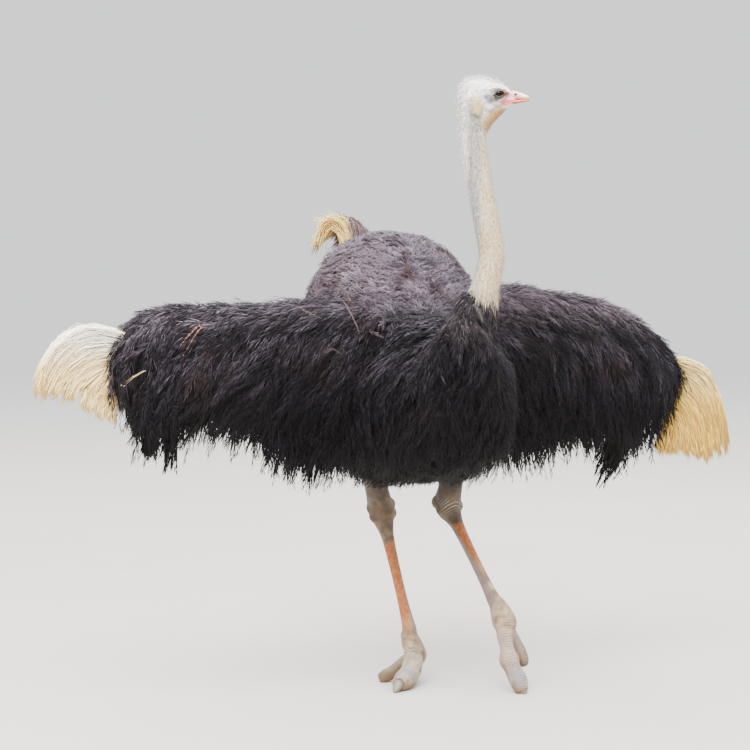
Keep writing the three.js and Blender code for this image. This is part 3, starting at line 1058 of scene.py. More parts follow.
@dataclass
class Head:
    """The head's and neck's bare flesh, with brows, lids, gape and ears. Head rows are in millimetres:
    forward, level, half width, half height and boxiness."""

    bird: Bird
    skull: tuple[Row, ...] = (
        (-56, 2, 8, 12),
        (-52, 2, 20, 27),
        (-36, 4, 32, 42),
        (-12, 4, 37.5, 50),
        (14, 2, 39, 50),
        (38, -1, 37, 44),
        (60, -4, 31, 36),
        (80, -5, 24.5, 28),
        (96, -6, 20.5, 21, 2.2),
        (107, -6, 15, 14),
    )
    throat: tuple[Row, ...] = (
        (88, -24, 11, 7),
        (66, -33, 20, 15),
        (36, -46, 30, 27),
        (8, -64, 36, 36),
        (-12, -92, 37, 36),
    )
    neck: tuple[Row, ...] = (
        (-0.014, -0.585, 1.150, 0.058, 0.052),
        (0.002, -0.614, 1.240, 0.048, 0.045),
        (0.011, -0.624, 1.290, 0.0435, 0.043),
        (0.022, -0.640, 1.350, 0.041, 0.040),
        (0.028, -0.650, 1.420, 0.039, 0.038),
        (0.009, -0.650, 1.520, 0.038, 0.037),
        (-0.006, -0.641, 1.622, 0.037, 0.036),
        (-0.018, -0.635, 1.708, 0.036, 0.036),
        (-0.026, -0.630, 1.780, 0.036, 0.037),
    )
    nape: tuple[Row, ...] = (
        (-0.024, -0.631, 1.758, 0.0362, 0.0364),
        (-0.027, -0.629, 1.795, 0.0366, 0.0376),
        (-0.027, -0.628, 1.850, 0.0366, 0.0390),
        (-0.025, -0.627, 1.895, 0.0350, 0.0390),
        (-0.016, -0.629, 1.922, 0.0260, 0.0270),
    )
    gape: tuple[Row, ...] = ((64, -21), (84, -16), (108, -11))
    brow: tuple[Row, ...] = ((22, 20, 6, 5), (44, 25, 8, 6), (66, 19, 8, 5), (86, 10, 5, 3))
    brow_aside: Row = (0.0320, 0.0360, 0.0315, 0.0190)
    # forward, aside, up and radius in metres, and the ball's rings
    cheeks: tuple[Row, ...] = (
        (0.026, 0.0190, -0.034, 0.0190, 12),
        (-0.010, 0.0190, -0.026, 0.0200, 12),
        (0.070, 0.0155, -0.019, 0.0085, 10),
    )
    forehead: tuple[Row, ...] = (
        (28, 20, 24, 22),
        (46, 20, 23, 23),
        (64, 15, 20, 22),
        (80, 9, 15, 18),
        (93, 4, 9, 11),
    )
    voxel: float = 0.0019
    kept: float = 0.62  # share of the triangles

    def rows(self, table: Sequence[Row], left: float = 0.0) -> list[Row]:
        """Head rows in the body's frame, in metres.

        Args:
            table: rows as in skull.
            left: how far to the left they lie.

        Returns:
            Stations for loft.
        """
        found = []
        for forward, level, wide, high, *boxy in table:
            place = self.bird.on_head(forward / MM, left, level / MM)
            found.append((*place, wide / MM, high / MM, *boxy))
        return found

    def lumps(self) -> list[Shape]:
        """Brow ridges, cheeks and the jaw's corners.

        Returns:
            One surface for each.
        """
        shapes = []
        for side in Side:
            hand = side.value
            rows = [self.rows([row], hand * left)[0] for row, left in zip(self.brow, self.brow_aside)]
            shapes.append(loft(rows, 16, 24))
            for forward, aside, up, radius, rings in self.cheeks:
                shapes.append(ball(self.bird.on_head(forward, hand * aside, up), radius, rings))
        return [*shapes, loft(self.rows(self.forehead), 24, 30)]

    def sculpt(self, shape: Shape) -> Shape:
        """Presses in the gape and the ears and raises the lips.

        Args:
            shape: the surface.

        Returns:
            The surface with its details.
        """
        local = self.bird.head_axes(shape.points) * MM
        normal = shape.normals()
        line = np.interp(local[:, 0], [row[0] for row in self.gape], [row[1] for row in self.gape])
        off = local[:, 2] - line
        here = rise(local[:, 0], 62, 68) * (np.abs(local[:, 1]) > 6)
        push = here * (-1.9 * np.exp(-((off / 1.5) ** 2)) + 0.9 * np.exp(-(((np.abs(off) - 3.6) / 1.6) ** 2)))
        for hand in (-1, 1):
            ear = np.linalg.norm(local - np.array([-14, hand * 37, -12]), axis=1)
            push += -4.0 * np.exp(-((ear / 4.5) ** 2)) + 1.2 * np.exp(-(((ear - 9) / 3) ** 2))
        return Shape(shape.points + normal * push[:, None] / MM, shape.faces)

    def build(self, eyes: Sequence[Eye]) -> Shape:
        """The head's flesh on its stub of neck, with sockets and lids cut for the eyes.

        Args:
            eyes: both eyes.

        Returns:
            A closed surface.
        """
        slanted = unit(UP + 0.6 * self.bird.forward)
        parts = [
            loft(self.rows(self.skull), 40, 60),
            loft(self.rows(self.throat), 32, 40, slanted),
            loft(self.nape, 32, 40, AHEAD),
            *self.lumps(),
        ]
        parts += [ball(eye.centre, eye.radius + eye.lid) for eye in eyes]
        flesh = thin(self.sculpt(fuse(parts, self.voxel, 5)), self.kept)
        for eye in eyes:
            flesh = combine(flesh, eye.cutter(), "DIFFERENCE")
            flesh = combine(flesh, ball(eye.centre, eye.radius + 0.0003, 32), "DIFFERENCE")
        return flesh

    def build_neck(self) -> Shape:
        """The neck's flesh, from inside the breast to inside the head's stub."""
        return loft(self.neck, 44, 110, AHEAD)


@dataclass
class Leg:
    """One bare leg from the knee to the toe tips. Points and half sizes are in millimetres."""

    side: Side
    knee: Row
    hock: Row
    ball: Row
    pad: tuple[Row, ...]
    inner: tuple[Row, ...]
    outer: tuple[Row, ...]
    claw: Row
    turn: float  # degrees that the front plates face away from straight ahead, towards the right
    plates_start: float  # how far below the hock the coloured plates start, in metres
    plates_end: float  # how far down the tarsus the coloured plates reach
    folds: float  # how clearly the hock's skin is folded
    knuckle: tuple  # the hock's colour
    pitch: float = 0.0105  # from plate to plate
    toe_pitch: float = 0.0085
    fold_pitch: float = 0.0078
    shin: tuple[Row, ...] = ((0, 60, 66), (0.25, 62, 72), (0.5, 46, 54), (0.72, 38, 42))
    near_hock: tuple[Row, ...] = ((-54, 40, 43), (-16, 44, 49), (18, 42, 47), (50, 30, 35), (92, 21, 25))
    tarsus: tuple[Row, ...] = ((0.4, 17, 21), (0.66, 17, 22), (0.84, 23, 27))
    pad_sizes: tuple[Row, ...] = ((30, 33), (36, 38), (34, 36), (16, 18))
    inner_sizes: tuple[Row, ...] = ((27, 27), (33, 33), (33, 35), (34, 33), (24, 24))
    outer_sizes: tuple[Row, ...] = ((20, 20), (19, 20), (18.5, 22), (17.5, 21), (11, 15))
    # share of the tarsus, how far behind it in metres and half size
    cord: tuple[Row, ...] = (
        (0.05, 0.024, 8),
        (0.2, 0.0185, 5.5),
        (0.5, 0.0165, 5),
        (0.8, 0.0215, 6),
        (0.95, 0.028, 8),
    )
    voxel: float = 0.0026
    kept: float = 0.36  # share of the triangles

    def __post_init__(self) -> None:
        """Works out the leg's axes."""
        self.top = np.array(self.knee) / MM
        self.joint = np.array(self.hock) / MM
        self.foot = np.array(self.ball) / MM
        self.above = unit(self.top - self.joint)
        self.below = unit(self.foot - self.joint)
        self.length = float(np.linalg.norm(self.foot - self.joint))
        self.front = unit(AHEAD - np.dot(AHEAD, self.below) * self.below)
        self.wide = np.cross(self.below, self.front)
        turn = math.radians(self.turn)
        self.plate_way = math.cos(turn) * self.front + math.sin(turn) * self.wide

    def shank(self) -> Shape:
        """The leg from the knee to the pad under the ball of the foot.

        Returns:
            A closed surface.
        """
        rows = [(*(self.top + (self.joint - self.top) * t), w / MM, h / MM) for t, w, h in self.shin]
        for off, wide, high in self.near_hock:
            way = self.below if off > 0 else -self.above
            rows.append((*(self.joint + way * off / MM), wide / MM, high / MM))
        for t, wide, high in self.tarsus:
            rows.append((*(self.joint + (self.foot - self.joint) * t), wide / MM, high / MM))
        rows += self.chain(self.pad, self.pad_sizes)
        return loft(rows, 40, 160, AHEAD)

    def chain(self, places: Sequence[Row], sizes: Sequence[Row], boxy: float = 2.0) -> list[Row]:
        """Stations through places with half sizes."""
        return [(*(v / MM for v in p), *(v / MM for v in s), boxy) for p, s in zip(places, sizes)]

    def details(self) -> list[Shape]:
        """The hock's knuckles and heel, the tendon behind the tarsus, and the toes' pads.

        Returns:
            One surface for each.
        """
        hock = self.joint
        shapes = [
            ball(hock + 0.026 * self.wide * hand + 0.004 * self.front + far * self.below, size, 12)
            for hand in (-1, 1)
            for far, size in ((-0.014, 0.0260), (0.016, 0.0235))
        ]
        shapes.append(ball(hock - 0.030 * self.front + 0.012 * self.below, 0.0225, 12))
        rows = []
        for t, back, size in self.cord:
            place = hock + (self.foot - hock) * t - self.front * back
            rows.append((*place, size / MM, size / MM))
        shapes.append(loft(rows, 16, 60, AHEAD))
        for places, sizes in ((self.inner, self.inner_sizes), (self.outer, self.outer_sizes)):
            for place, (wide, high) in zip(places[1:4], sizes[1:4]):
                under = np.array(place) / MM - 0.30 * high / MM * UP
                shapes.append(ball(under, 0.80 * wide / MM, 12))
        return shapes

    def floored(self, shape: Shape, floor: float) -> Shape:
        """The surface with nothing below the floor.

        Args:
            shape: the surface.
            floor: the floor's level.

        Returns:
            The surface, flat where it stands.
        """
        points = shape.points.copy()
        points[:, 2] = np.maximum(points[:, 2], floor)
        return Shape(points, shape.faces)

    def sculpt(self, shape: Shape) -> Shape:
        """Cuts the scutes down the front of the tarsus and on the toes, and the folds of the hock.

        Args:
            shape: the surface.

        Returns:
            The surface with its details.
        """
        points = shape.points
        normal = shape.normals()
        off = points - self.joint
        far = off @ self.below
        radial = off - far[:, None] * self.below
        facing = unit(radial) @ self.plate_way
        plates = rise(far, 0.06, 0.10) * rise(-far, -self.length + 0.02, -self.length + 0.05)
        plates = plates * rise(facing, 0.35, 0.8)
        push = 0.9 * plates * (1.0 - (far / self.pitch) % 1.0) - 0.4 * plates
        bent = 1.5 * np.sin(points[:, 0] * 140) + np.sin(points[:, 1] * 95)
        wave = np.sin(far * 2 * math.pi / self.fold_pitch + bent)
        folded = self.folds * np.exp(-(((far + 0.004) / 0.034) ** 2))
        push += 0.9 * wave * folded * (0.25 + 0.75 * rise(np.abs(facing), 0.2, 0.9))
        way, top = self.toe_places(points)
        push += 0.9 * top * (1.0 - (way / self.toe_pitch) % 1.0)
        return Shape(points + normal * push[:, None] / MM, shape.faces)

    def toe_places(self, points: np.ndarray) -> tuple[np.ndarray, np.ndarray]:
        """How far along the nearer toe each point lies, and a mask of the toes' upper sides.

        Args:
            points: the places.

        Returns:
            The distances and the mask.
        """
        ways, gaps, tops = [], [], []
        for places in (self.inner, self.outer):
            line = catmull(np.array(places, dtype=float) / MM, np.linspace(0, 1, 60))
            steps = np.linalg.norm(np.diff(line, axis=0), axis=1).cumsum()
            distance = np.linalg.norm(points[:, None] - line[None], axis=2)
            nearest = distance.argmin(axis=1)
            off = points - line[nearest]
            along = dots(off, unit(np.gradient(line, axis=0))[nearest])[:, 0]
            ways.append(np.concatenate([[0.0], steps])[nearest] + along)
            gaps.append(distance.min(axis=1))
            upward = dots(unit(off), unit(UP + 0.7 * self.front))[:, 0]
            tops.append(rise(upward, 0.45, 0.75) * rise(-gaps[-1], -0.044, -0.036))
        inner = gaps[0] < gaps[1]
        return np.where(inner, ways[0], ways[1]), np.where(inner, tops[0], tops[1])

    def build(self, floor: float) -> Shape:
        """The leg's flesh, flat where it stands.

        Args:
            floor: the floor's level.

        Returns:
            A closed surface.
        """
        toes = [loft(self.chain(self.inner, self.inner_sizes, 2.2), 32, 60)]
        toes.append(loft(self.chain(self.outer, self.outer_sizes, 2.2), 28, 60))
        flesh = fuse([self.shank(), *toes, *self.details()], self.voxel, 5)
        return self.floored(thin(self.sculpt(flesh), self.kept), floor)


def legs() -> list[Leg]:
    """The standing right leg and the stepping left one.

    Returns:
        Both legs.
    """
    right = Leg(
        Side.RIGHT,
        knee=(-195, -143, 948),
        hock=(-6, 70, 549),
        ball=(68, -32, 86),
        pad=((61, -11, 126), (68, -32, 86), (81, -23, 58), (91, -15, 40)),
        inner=((65, -39, 74), (41, -75, 46), (7, -119, 24), (-32, -160, 16), (-64, -189, 9)),
        outer=((53, -35, 68), (17, -33, 40), (-15, -29, 16), (-41, -27, 5), (-59, -26, 0)),
        claw=(-88, -206, -13),
        turn=48.0,
        plates_start=0.100,
        plates_end=0.93,
        folds=0.08,
        knuckle=paint(112, 84, 54),
    )
    left = Leg(
        Side.LEFT,
        knee=(170, -220, 980),
        hock=(210, 8, 564),
        ball=(268, -290, 213),
        pad=((261, -263, 256), (268, -290, 213), (278, -288, 184), (286, -284, 164)),
        inner=(
            (268, -293, 206),
            (263, -310, 162),
            (262, -323, 128),
            (262, -338, 92),
            (269, -351, 62),
            (280, -367, 28),
            (287, -381, -9),
        ),
        outer=((281, -290, 190), (299, -306, 146), (311, -324, 108), (315, -336, 82), (316, -341, 66)),
        claw=(291, -400, -13),
        turn=-10.0,
        plates_start=0.080,
        plates_end=0.72,
        folds=1.0,
        knuckle=paint(96, 84, 70),
        pad_sizes=((29, 31), (40, 40), (33, 34), (16, 18)),
        inner_sizes=((30, 30), (27, 28), (22, 24), (31, 33), (26, 27), (30, 29), (22, 21)),
    )
    return [right, left]


@dataclass
class Skin:
    """The one skin under the whole coat."""

    bird: Bird
    finish: bpy.types.Material
    coat: float = 0.050
    voxel: float = 0.014

    def trunk(self) -> Shape:
        """The trunk's and the wings' flesh, as deep below the plumage as there is room for.

        Returns:
            A closed surface.
        """
        outer = Envelope(fuse(self.bird.nodes(TRUNK_NODES + WING_NODES), self.voxel, 5))
        near_neck = rise(outer.shape.points[:, 2], 1.12, 1.25) * rise(-outer.shape.points[:, 1], 0.48, 0.56)
        deep = np.minimum(self.coat * (1.0 - 0.6 * near_neck), 0.32 * outer.thick)
        sunk = Shape(outer.shape.points - outer.normal * deep[:, None], outer.shape.faces).relax(4)
        return fuse([sunk], self.voxel, 3)

    def build(self, head: Head, eyes: Sequence[Eye], walkers: Sequence[Leg]) -> Shape:
        """Joins the trunk, neck, head and legs and places the piece.

        Args:
            head: the head and neck.
            eyes: both eyes, which the lids are cut around.
            walkers: both legs.

        Returns:
            The skin in the body's frame.
        """
        floor = -self.bird.shift[2]
        flesh = combine(self.trunk(), head.build_neck(), "UNION")
        flesh = combine(flesh, head.build(eyes), "UNION")
        for leg in walkers:
            flesh = combine(flesh, leg.build(floor), "UNION")
        piece = Piece("skin", "down", self.finish, TRUNK_NODES + WING_NODES + LEG_NODES + HEAD_NODES)
        traits = {name: np.zeros(len(flesh.points)) for name in ("toe_way", "toe_top")}
        for leg in walkers:
            foot = (np.linalg.norm(flesh.points - leg.foot, axis=1) < 0.32) & (flesh.points[:, 2] < 0.32)
            way, top = leg.toe_places(flesh.points[foot])
            traits["toe_way"][foot] = way
            traits["toe_top"][foot] = top
        piece.from_shape(flesh, self.bird, traits)
        return flesh


# ---- finishes ----

WHITE_DOWN, GREY_DOWN, CREAM_DOWN = paint(248, 245, 238), paint(146, 143, 138), paint(206, 180, 138)
TAN, AMBER, ORANGE = paint(192, 164, 80), paint(152, 112, 34), paint(152, 98, 32)
BLUE_GREY, LID_GREY = paint(70, 73, 84), paint(96, 76, 72)
LORE, PINK = paint(126, 78, 58), paint(214, 112, 112)


@dataclass(frozen=True)
class Dabs:
    """Soft round patches of one colour on both sides of the head.

    Attributes:
        colour: their colour.
        amount: how strong they are.
        places: forward, aside, up, radius of the full colour and radius where it ends, in millimetres.
    """

    colour: tuple
    amount: float
    places: tuple[Row, ...]


EAR_RIM = (
    Dabs(paint(148, 112, 58), 0.6, ((-29, 45, -12, 3, 12), (-31, 45, -28, 3, 12), (-28, 45, -44, 3, 12))),
    Dabs(paint(92, 74, 54), 0.75, ((-20, 45, -58, 3, 13), (-6, 45, -62, 3, 13))),
)
THROAT = (
    Dabs(AMBER, 0.7, ((54, 22, -43, 8, 24), (37, 27, -57, 8, 24), (22, 27, -82, 8, 24))),
    Dabs(ORANGE, 0.75, ((60, 0, -46, 10, 34), (44, 0, -62, 12, 36), (30, 0, -88, 14, 38))),
)
EYE_HOLLOW = (Dabs(LID_GREY, 0.7, ((50, 40, 8, 14, 27),)),)
LIDS = (
    Dabs(paint(86, 78, 82), 0.6, ((32, 42, 0, 4, 13),)),
    Dabs(paint(204, 190, 172), 0.7, ((56, 40, -8, 5, 11),)),
    Dabs(paint(62, 50, 44), 0.75, ((57, 45, 8, 15.5, 19.5),)),
    Dabs(paint(62, 50, 38), 0.8, ((47, 40, -10, 4, 14),)),
)
BILL_ROOT = (
    Dabs(PINK, 0.75, ((70, 30, -12, 6, 17), (86, 24, -8, 6, 17))),
    Dabs(LORE, 0.8, ((71, 39, 11, 9, 14), (77, 30, 10, 9, 18), (84, 22, 11, 9, 16))),
)


@dataclass(frozen=True)
class Tones:
    """The same place's colour in the dark between feathers and on their lit parts."""

    graph: Graph
    dark: Value
    pale: Value

    def under(self, mask: Port, dark: Value, pale: Value) -> "Tones":
        """These colours with others laid over them where the mask is 1."""
        mix = self.graph.mix
        return Tones(self.graph, mix(mask, self.dark, dark), mix(mask, self.pale, pale))


@dataclass(frozen=True)
class Markings:
    """The bird's colours by place, shared by its skin and its coat."""

    bird: Bird

    def level(self, graph: Graph, low: float, high: float) -> Port:
        """A mask that rises with height above the drawn body's zero level."""
        return graph.along(self.bird.shift, UP).rise(low, high)

    def both(self, graph: Graph, place: Row) -> Port:
        """A round mask on both sides of the head.

        Args:
            graph: the finish's graph.
            place: forward, aside, up, full and none in millimetres, as in Dabs.

        Returns:
            The mask.
        """
        forward, aside, up, full, none = (value / MM for value in place)
        right, left = (self.bird.on_head(forward, hand * aside, up) + self.bird.shift for hand in (-1, 1))
        return graph.spot(right, full, none).at_least(graph.spot(left, full, none))

    def dab(self, graph: Graph, colour: Port, groups: Sequence[Dabs]) -> Port:
        """Lays groups of patches over a colour.

        Args:
            graph: the finish's graph.
            colour: the colour below.
            groups: the patches.

        Returns:
            The new colour.
        """
        for group in groups:
            for place in group.places:
                colour = graph.mix(self.both(graph, place) * group.amount, colour, group.colour)
        return colour

    def lips(self, graph: Graph) -> Port:
        """The pink stripe along the gape, from its corner on to the bill.

        Args:
            graph: the finish's graph.

        Returns:
            The mask.
        """
        bird = self.bird
        corner = bird.on_head(0.066, 0, -0.020) + bird.shift
        line = graph.band(corner, UP - 0.17 * bird.forward, 0.0030, 0.0090)
        return line * graph.along(corner, bird.forward).rise(-0.010, 0.002)

    def face(self, graph: Graph, colour: Port) -> Port:
        """The bare and coloured places of the head, laid over a colour.

        Args:
            graph: the finish's graph.
            colour: the colour below.

        Returns:
            The new colour.
        """
        ear = self.both(graph, (-8, 43, -34, 10, 30)).at_least(self.both(graph, (-12, 44, -14, 8, 22)))
        colour = graph.mix(ear * (0.45 + 0.4 * graph.noise(120.0)), colour, TAN)
        colour = self.dab(graph, colour, EAR_RIM)
        cheek = self.both(graph, (19, 39, -2, 1, 20)).at_least(self.both(graph, (30, 38, -10, 2, 24)))
        colour = graph.mix(cheek * (0.75 + 0.4 * graph.noise(90.0)), colour, BLUE_GREY)
        colour = self.dab(graph, colour, THROAT + EYE_HOLLOW)
        # Painted shade: a dark line under the brow ridge, just above the eye.
        slope = UP - 0.16 * self.bird.forward
        brow = graph.band(self.bird.on_head(0.060, 0, 0.0175) + self.bird.shift, slope, 0.0012, 0.0050)
        brow = brow * self.both(graph, (60, 38, 16, 14, 26))
        colour = graph.mix(brow * 0.9, colour, paint(58, 42, 38))
        colour = self.dab(graph, colour, LIDS + BILL_ROOT)
        return graph.mix(self.lips(graph) * 0.9, colour, PINK)

    def neck(self, graph: Graph) -> Port:
        """Neck and head: white and grey down, cream in front and at the collar.

        Args:
            graph: the finish's graph.

        Returns:
            The colour.
        """
        bird = self.bird
        middle_line = bird.on_head(-0.03, 0, 0) + bird.shift
        soft = graph.noise(38.0, 3.0)
        speckle = graph.noise(260.0, 2.0)
        colour = graph.mix(self.level(graph, 1.83, 1.90), GREY_DOWN, WHITE_DOWN)
        back = graph.along(middle_line, -bird.forward).rise(-0.004, 0.022)
        colour = graph.mix(back * 0.9, colour, WHITE_DOWN)
        front = graph.along(middle_line, bird.forward).rise(0.018, 0.046)
        colour = graph.mix(front * self.level(graph, 1.86, 1.80) * 0.8, colour, CREAM_DOWN)
        colour = graph.mix(speckle.rise(0.42, 0.75) * 0.5, colour, paint(84, 78, 76))
        colour = graph.mix(self.level(graph, 1.40, 1.28) * 0.35, colour, CREAM_DOWN)
        colour = graph.mix(self.level(graph, 1.30, 1.24) * 0.5, colour, paint(150, 126, 106))
        return graph.shade(self.face(graph, colour), 0.86 + 0.26 * soft)

    def plumage(self, graph: Graph, light: Value) -> Port:
        """Trunk and wings: black with a violet cast, the mauve-grey back and the grey base of the neck.

        Args:
            graph: the finish's graph.
            light: how light each place is, from 0 in the painted shade between feathers to 1 on their lit
                parts.

        Returns:
            The colour.
        """
        shift = self.bird.shift
        back = self.level(graph, 1.20, 1.32) * graph.along(shift, AHEAD).rise(0.46, 0.34)
        sides = graph.along(shift, LEFTWARD)
        back = back * (1.0 - (sides * sides).rise(0.075, 0.15))
        throat = graph.spot(np.array([-0.03, -0.62, 1.23]) + shift, 0.070, 0.150)
        # Painted light: the back is made lighter towards the bird's right side.
        painted_light_right_back = (0.0 - sides).rise(0.04, 0.20) * self.level(graph, 1.26, 1.36)
        blotch = graph.noise(7.0, 3.0)
        mottle = graph.noise(17.0, 2.0).rise(0.30, 0.66)
        high = graph.along(shift, UP) + 0.10 * sides * sides
        dark = graph.mix(blotch.rise(0.35, 0.7), paint(10, 9, 13), paint(20, 15, 17))
        pale = graph.mix(blotch.rise(0.5, 0.75), paint(92, 84, 96), paint(92, 74, 74))
        # Painted light and shade: the pale tone darkens low down and lightens on the tops of the wings and
        # back.
        pale = graph.mix(high.rise(0.90, 1.18), paint(30, 27, 33), pale)
        tops = high.rise(1.17, 1.29)
        violet = Tones(graph, dark, pale).under(tops * 0.8, paint(46, 40, 47), paint(130, 119, 130))
        # Painted light: the tops on the bird's left side are lighter still.
        painted_light_left_tops = tops * sides.rise(0.15, 0.35) * 0.5
        violet = violet.under(painted_light_left_tops, paint(78, 68, 76), paint(176, 160, 170))
        dark = graph.mix(mottle, paint(58, 49, 57), paint(98, 87, 98))
        lit = self.level(graph, 1.34, 1.52) * (0.6 + 0.4 * mottle)
        pale = graph.mix(lit, paint(92, 82, 92), paint(142, 132, 143))
        dark = graph.mix(painted_light_right_back * 0.6, dark, paint(100, 86, 94))
        pale = graph.mix(painted_light_right_back * 0.5, pale, paint(156, 140, 148))
        rim = sides.rise(0.13, 0.20) * self.level(graph, 1.28, 1.36) * 0.4
        mauve = Tones(graph, dark, pale).under(rim, paint(52, 38, 40), paint(74, 58, 60))
        russet = graph.noise(13.0, 3.0).rise(0.52, 0.66) * 0.75
        mauve = mauve.under(russet, paint(46, 31, 33), paint(92, 70, 72))
        tones = violet.under(back, mauve.dark, mauve.pale)
        tones = tones.under(throat * 0.7, paint(30, 26, 29), paint(104, 94, 98))
        return graph.mix(light, tones.dark, tones.pale)


@dataclass(frozen=True)
class Finishes:
    """Makers of every finish on the bird."""

    marks: Markings
    walkers: tuple[Leg, ...]

    def shank_colour(self, graph: Graph, leg: Leg, colour: Port) -> Port:
        """The hock's folds, the plates and stripes of the tarsus and the pad under the foot.

        Args:
            graph: the finish's graph.
            leg: the leg.
            colour: the colour below.

        Returns:
            The new colour.
        """
        shift = self.marks.bird.shift
        joint = leg.joint + shift
        far = graph.along(joint, leg.below)
        ahead = graph.along(joint, leg.plate_way)
        near = graph.off_line(joint, leg.below).rise(0.070, 0.055)
        below_hock = far.rise(0.10, 0.16)
        cord = near * below_hock * (1.0 - ahead.rise(-0.002, 0.008))
        colour = graph.mix(cord * 0.75, colour, paint(164, 142, 132))
        inner = graph.along(joint, leg.side.value * leg.wide) + 0.016 * far.rise(0.06, 0.34)
        stripe = near * inner.rise(0.0180, 0.0220) * below_hock
        stripe = stripe * far.rise(leg.length + 0.01, leg.length - 0.06)
        colour = graph.mix(stripe * 0.75, colour, paint(128, 108, 108))
        knuckle = graph.spot(joint, 0.035, 0.075)
        colour = graph.mix(knuckle * 0.6, colour, leg.knuckle)
        creases = (far * (2 * math.pi / leg.fold_pitch) + 4.0 * graph.noise(30.0)).wave()
        folds = knuckle * leg.folds * (0.25 + 0.75 * ahead.rise(0.010, 0.030))
        colour = graph.mix(folds * creases.rise(0.2, 0.95) * 0.8, colour, paint(48, 42, 38))
        colour = graph.mix(folds * creases.rise(-0.4, -0.95) * 0.7, colour, paint(196, 188, 176))
        callus = graph.spot(joint - 0.046 * leg.front + 0.030 * leg.below, 0.008, 0.022)
        colour = graph.mix(callus * 0.8, colour, paint(104, 66, 44))
        end = leg.length * leg.plates_end
        plates = near * ahead.rise(0.0070, 0.0105) * far.rise(leg.plates_start, leg.plates_start + 0.03)
        plates = plates * far.rise(end, end - 0.09) * (1.0 - stripe)
        tone = graph.mix(graph.noise(90.0, 2.0).rise(0.3, 0.7), paint(164, 82, 30), paint(190, 116, 56))
        tone = graph.mix(far.rise((0.2 + 0.6 * leg.plates_end) * end, end), tone, paint(200, 146, 108))
        lines = (far * (2 * math.pi / leg.pitch)).wave().rise(0.80, 0.98)
        tone = graph.mix(lines * 0.6, tone, paint(146, 84, 60))
        colour = graph.mix(plates, colour, tone)
        sole = graph.spot(leg.foot - 0.030 * leg.front + shift, 0.020, 0.042)
        return graph.mix(sole * 0.35, colour, paint(140, 108, 84))

    def toe_colour(self, graph: Graph, leg: Leg, colour: Port, broken: Port) -> Port:
        """The outer toe's brown, partly its own colour and partly painted shade, the inner toe's bluish tip
        and its knuckle.

        Args:
            graph: the finish's graph.
            leg: the leg.
            colour: the colour below.
            broken: a mask of dusty patches.

        Returns:
            The new colour.
        """
        shift = self.marks.bird.shift
        outer, inner = (np.array(places, dtype=float) / MM for places in (leg.outer, leg.inner))
        # The outer toes' brown is partly their own colour and partly painted shade.
        for place in outer[1:]:
            toe = graph.spot(place + shift, 0.020, 0.040)
            colour = graph.mix(toe * 0.55, colour, paint(88, 68, 44))
        tip = graph.spot(inner[-2] + 0.012 * UP + shift, 0.020, 0.055)
        colour = graph.mix(tip * (0.25 + 0.5 * broken), colour, paint(112, 118, 134))
        for hand in (-1, 1):
            knob = inner[len(inner) // 2] + hand * 0.024 * leg.wide - 0.010 * UP
            colour = graph.mix(graph.spot(knob + shift, 0.008, 0.024) * 0.55, colour, paint(122, 92, 66))
        return colour

    def leg_colour(self, graph: Graph) -> tuple[Port, Port]:
        """The bare legs' colour, and a height for their scales.

        Args:
            graph: the skin's graph.

        Returns:
            The colour and the scales' net.
        """
        shift = self.marks.bird.shift
        blotch = graph.noise(26.0, 4.0).rise(0.3, 0.7)
        height = graph.along(shift, UP)
        # The upper legs are browner, and darker as painted shade under the body.
        upper = graph.mix(blotch, paint(58, 45, 32), paint(112, 90, 64))
        lower = graph.mix(blotch, paint(104, 80, 54), paint(190, 166, 127))
        colour = graph.mix(height.rise(0.54, 0.34), upper, lower)
        for leg in self.walkers:
            colour = self.shank_colour(graph, leg, colour)
        # Painted shade: darker just below the feathers, more on the bird's left leg.
        left = graph.along(shift, LEFTWARD).rise(0.0, 0.03)
        colour = graph.mix(height.rise(0.575, 0.625) * (0.45 + 0.30 * left), colour, paint(40, 29, 20))
        pitch = self.walkers[0].toe_pitch
        seams = ((graph.trait("toe_way") + 0.25 * pitch) * (2 * math.pi / pitch)).wave().rise(0.0, 0.8)
        broken = graph.noise(70.0, 2.0).rise(0.35, 0.6)
        top = graph.trait("toe_top")
        colour = graph.mix(top * 0.45, colour, paint(184, 170, 148))
        colour = graph.mix(top * seams * (0.35 + 0.6 * broken), colour, paint(58, 58, 66))
        for leg in self.walkers:
            colour = self.toe_colour(graph, leg, colour, broken)
        colour = graph.mix(height.rise(0.018, 0.0) * 0.8, colour, paint(128, 98, 70))
        net = graph.cells(230.0).rise(0.0, 0.12)
        return graph.shade(colour, 0.66 + 0.34 * net), net

    def skin(self) -> bpy.types.Material:
        """The skin, with the same markings as the coat over it.

        Returns:
            The material.
        """
        graph = Graph("skin")
        leg, net = self.leg_colour(graph)
        neck = self.marks.neck(graph)
        # Under the coat the skin takes the plumage's darkest tone: painted shade between the feathers.
        plumage = self.marks.plumage(graph, 0.04)
        colour = graph.mix(self.marks.level(graph, 0.62, 0.72), leg, plumage)
        at_neck = graph.along(self.marks.bird.shift, AHEAD).rise(0.48, 0.53)
        colour = graph.mix(self.marks.level(graph, 1.25, 1.275) * at_neck, colour, neck)
        bare = self.marks.level(graph, 1.0, 0.9)
        graph.bump(net * bare * 0.8 + graph.noise(520.0, 2.0) * 0.5, 0.0012)
        return graph.dressed(colour, 0.48 + 0.2 * graph.noise(60.0))

    def feathers(self) -> bpy.types.Material:
        """Black wing and body feathers and the mauve-grey back.

        Returns:
            The material.
        """
        graph = Graph("feathers", Specular_IOR_Level=0.14)
        # Each tuft's own tone, darker towards its root: painted shade between the feathers.
        light = graph.trait("tone") ** 2.0 * (0.45 + 0.75 * graph.trait("reach"))
        return graph.dressed(self.marks.plumage(graph, light), 0.5 + 0.25 * graph.noise(40.0))

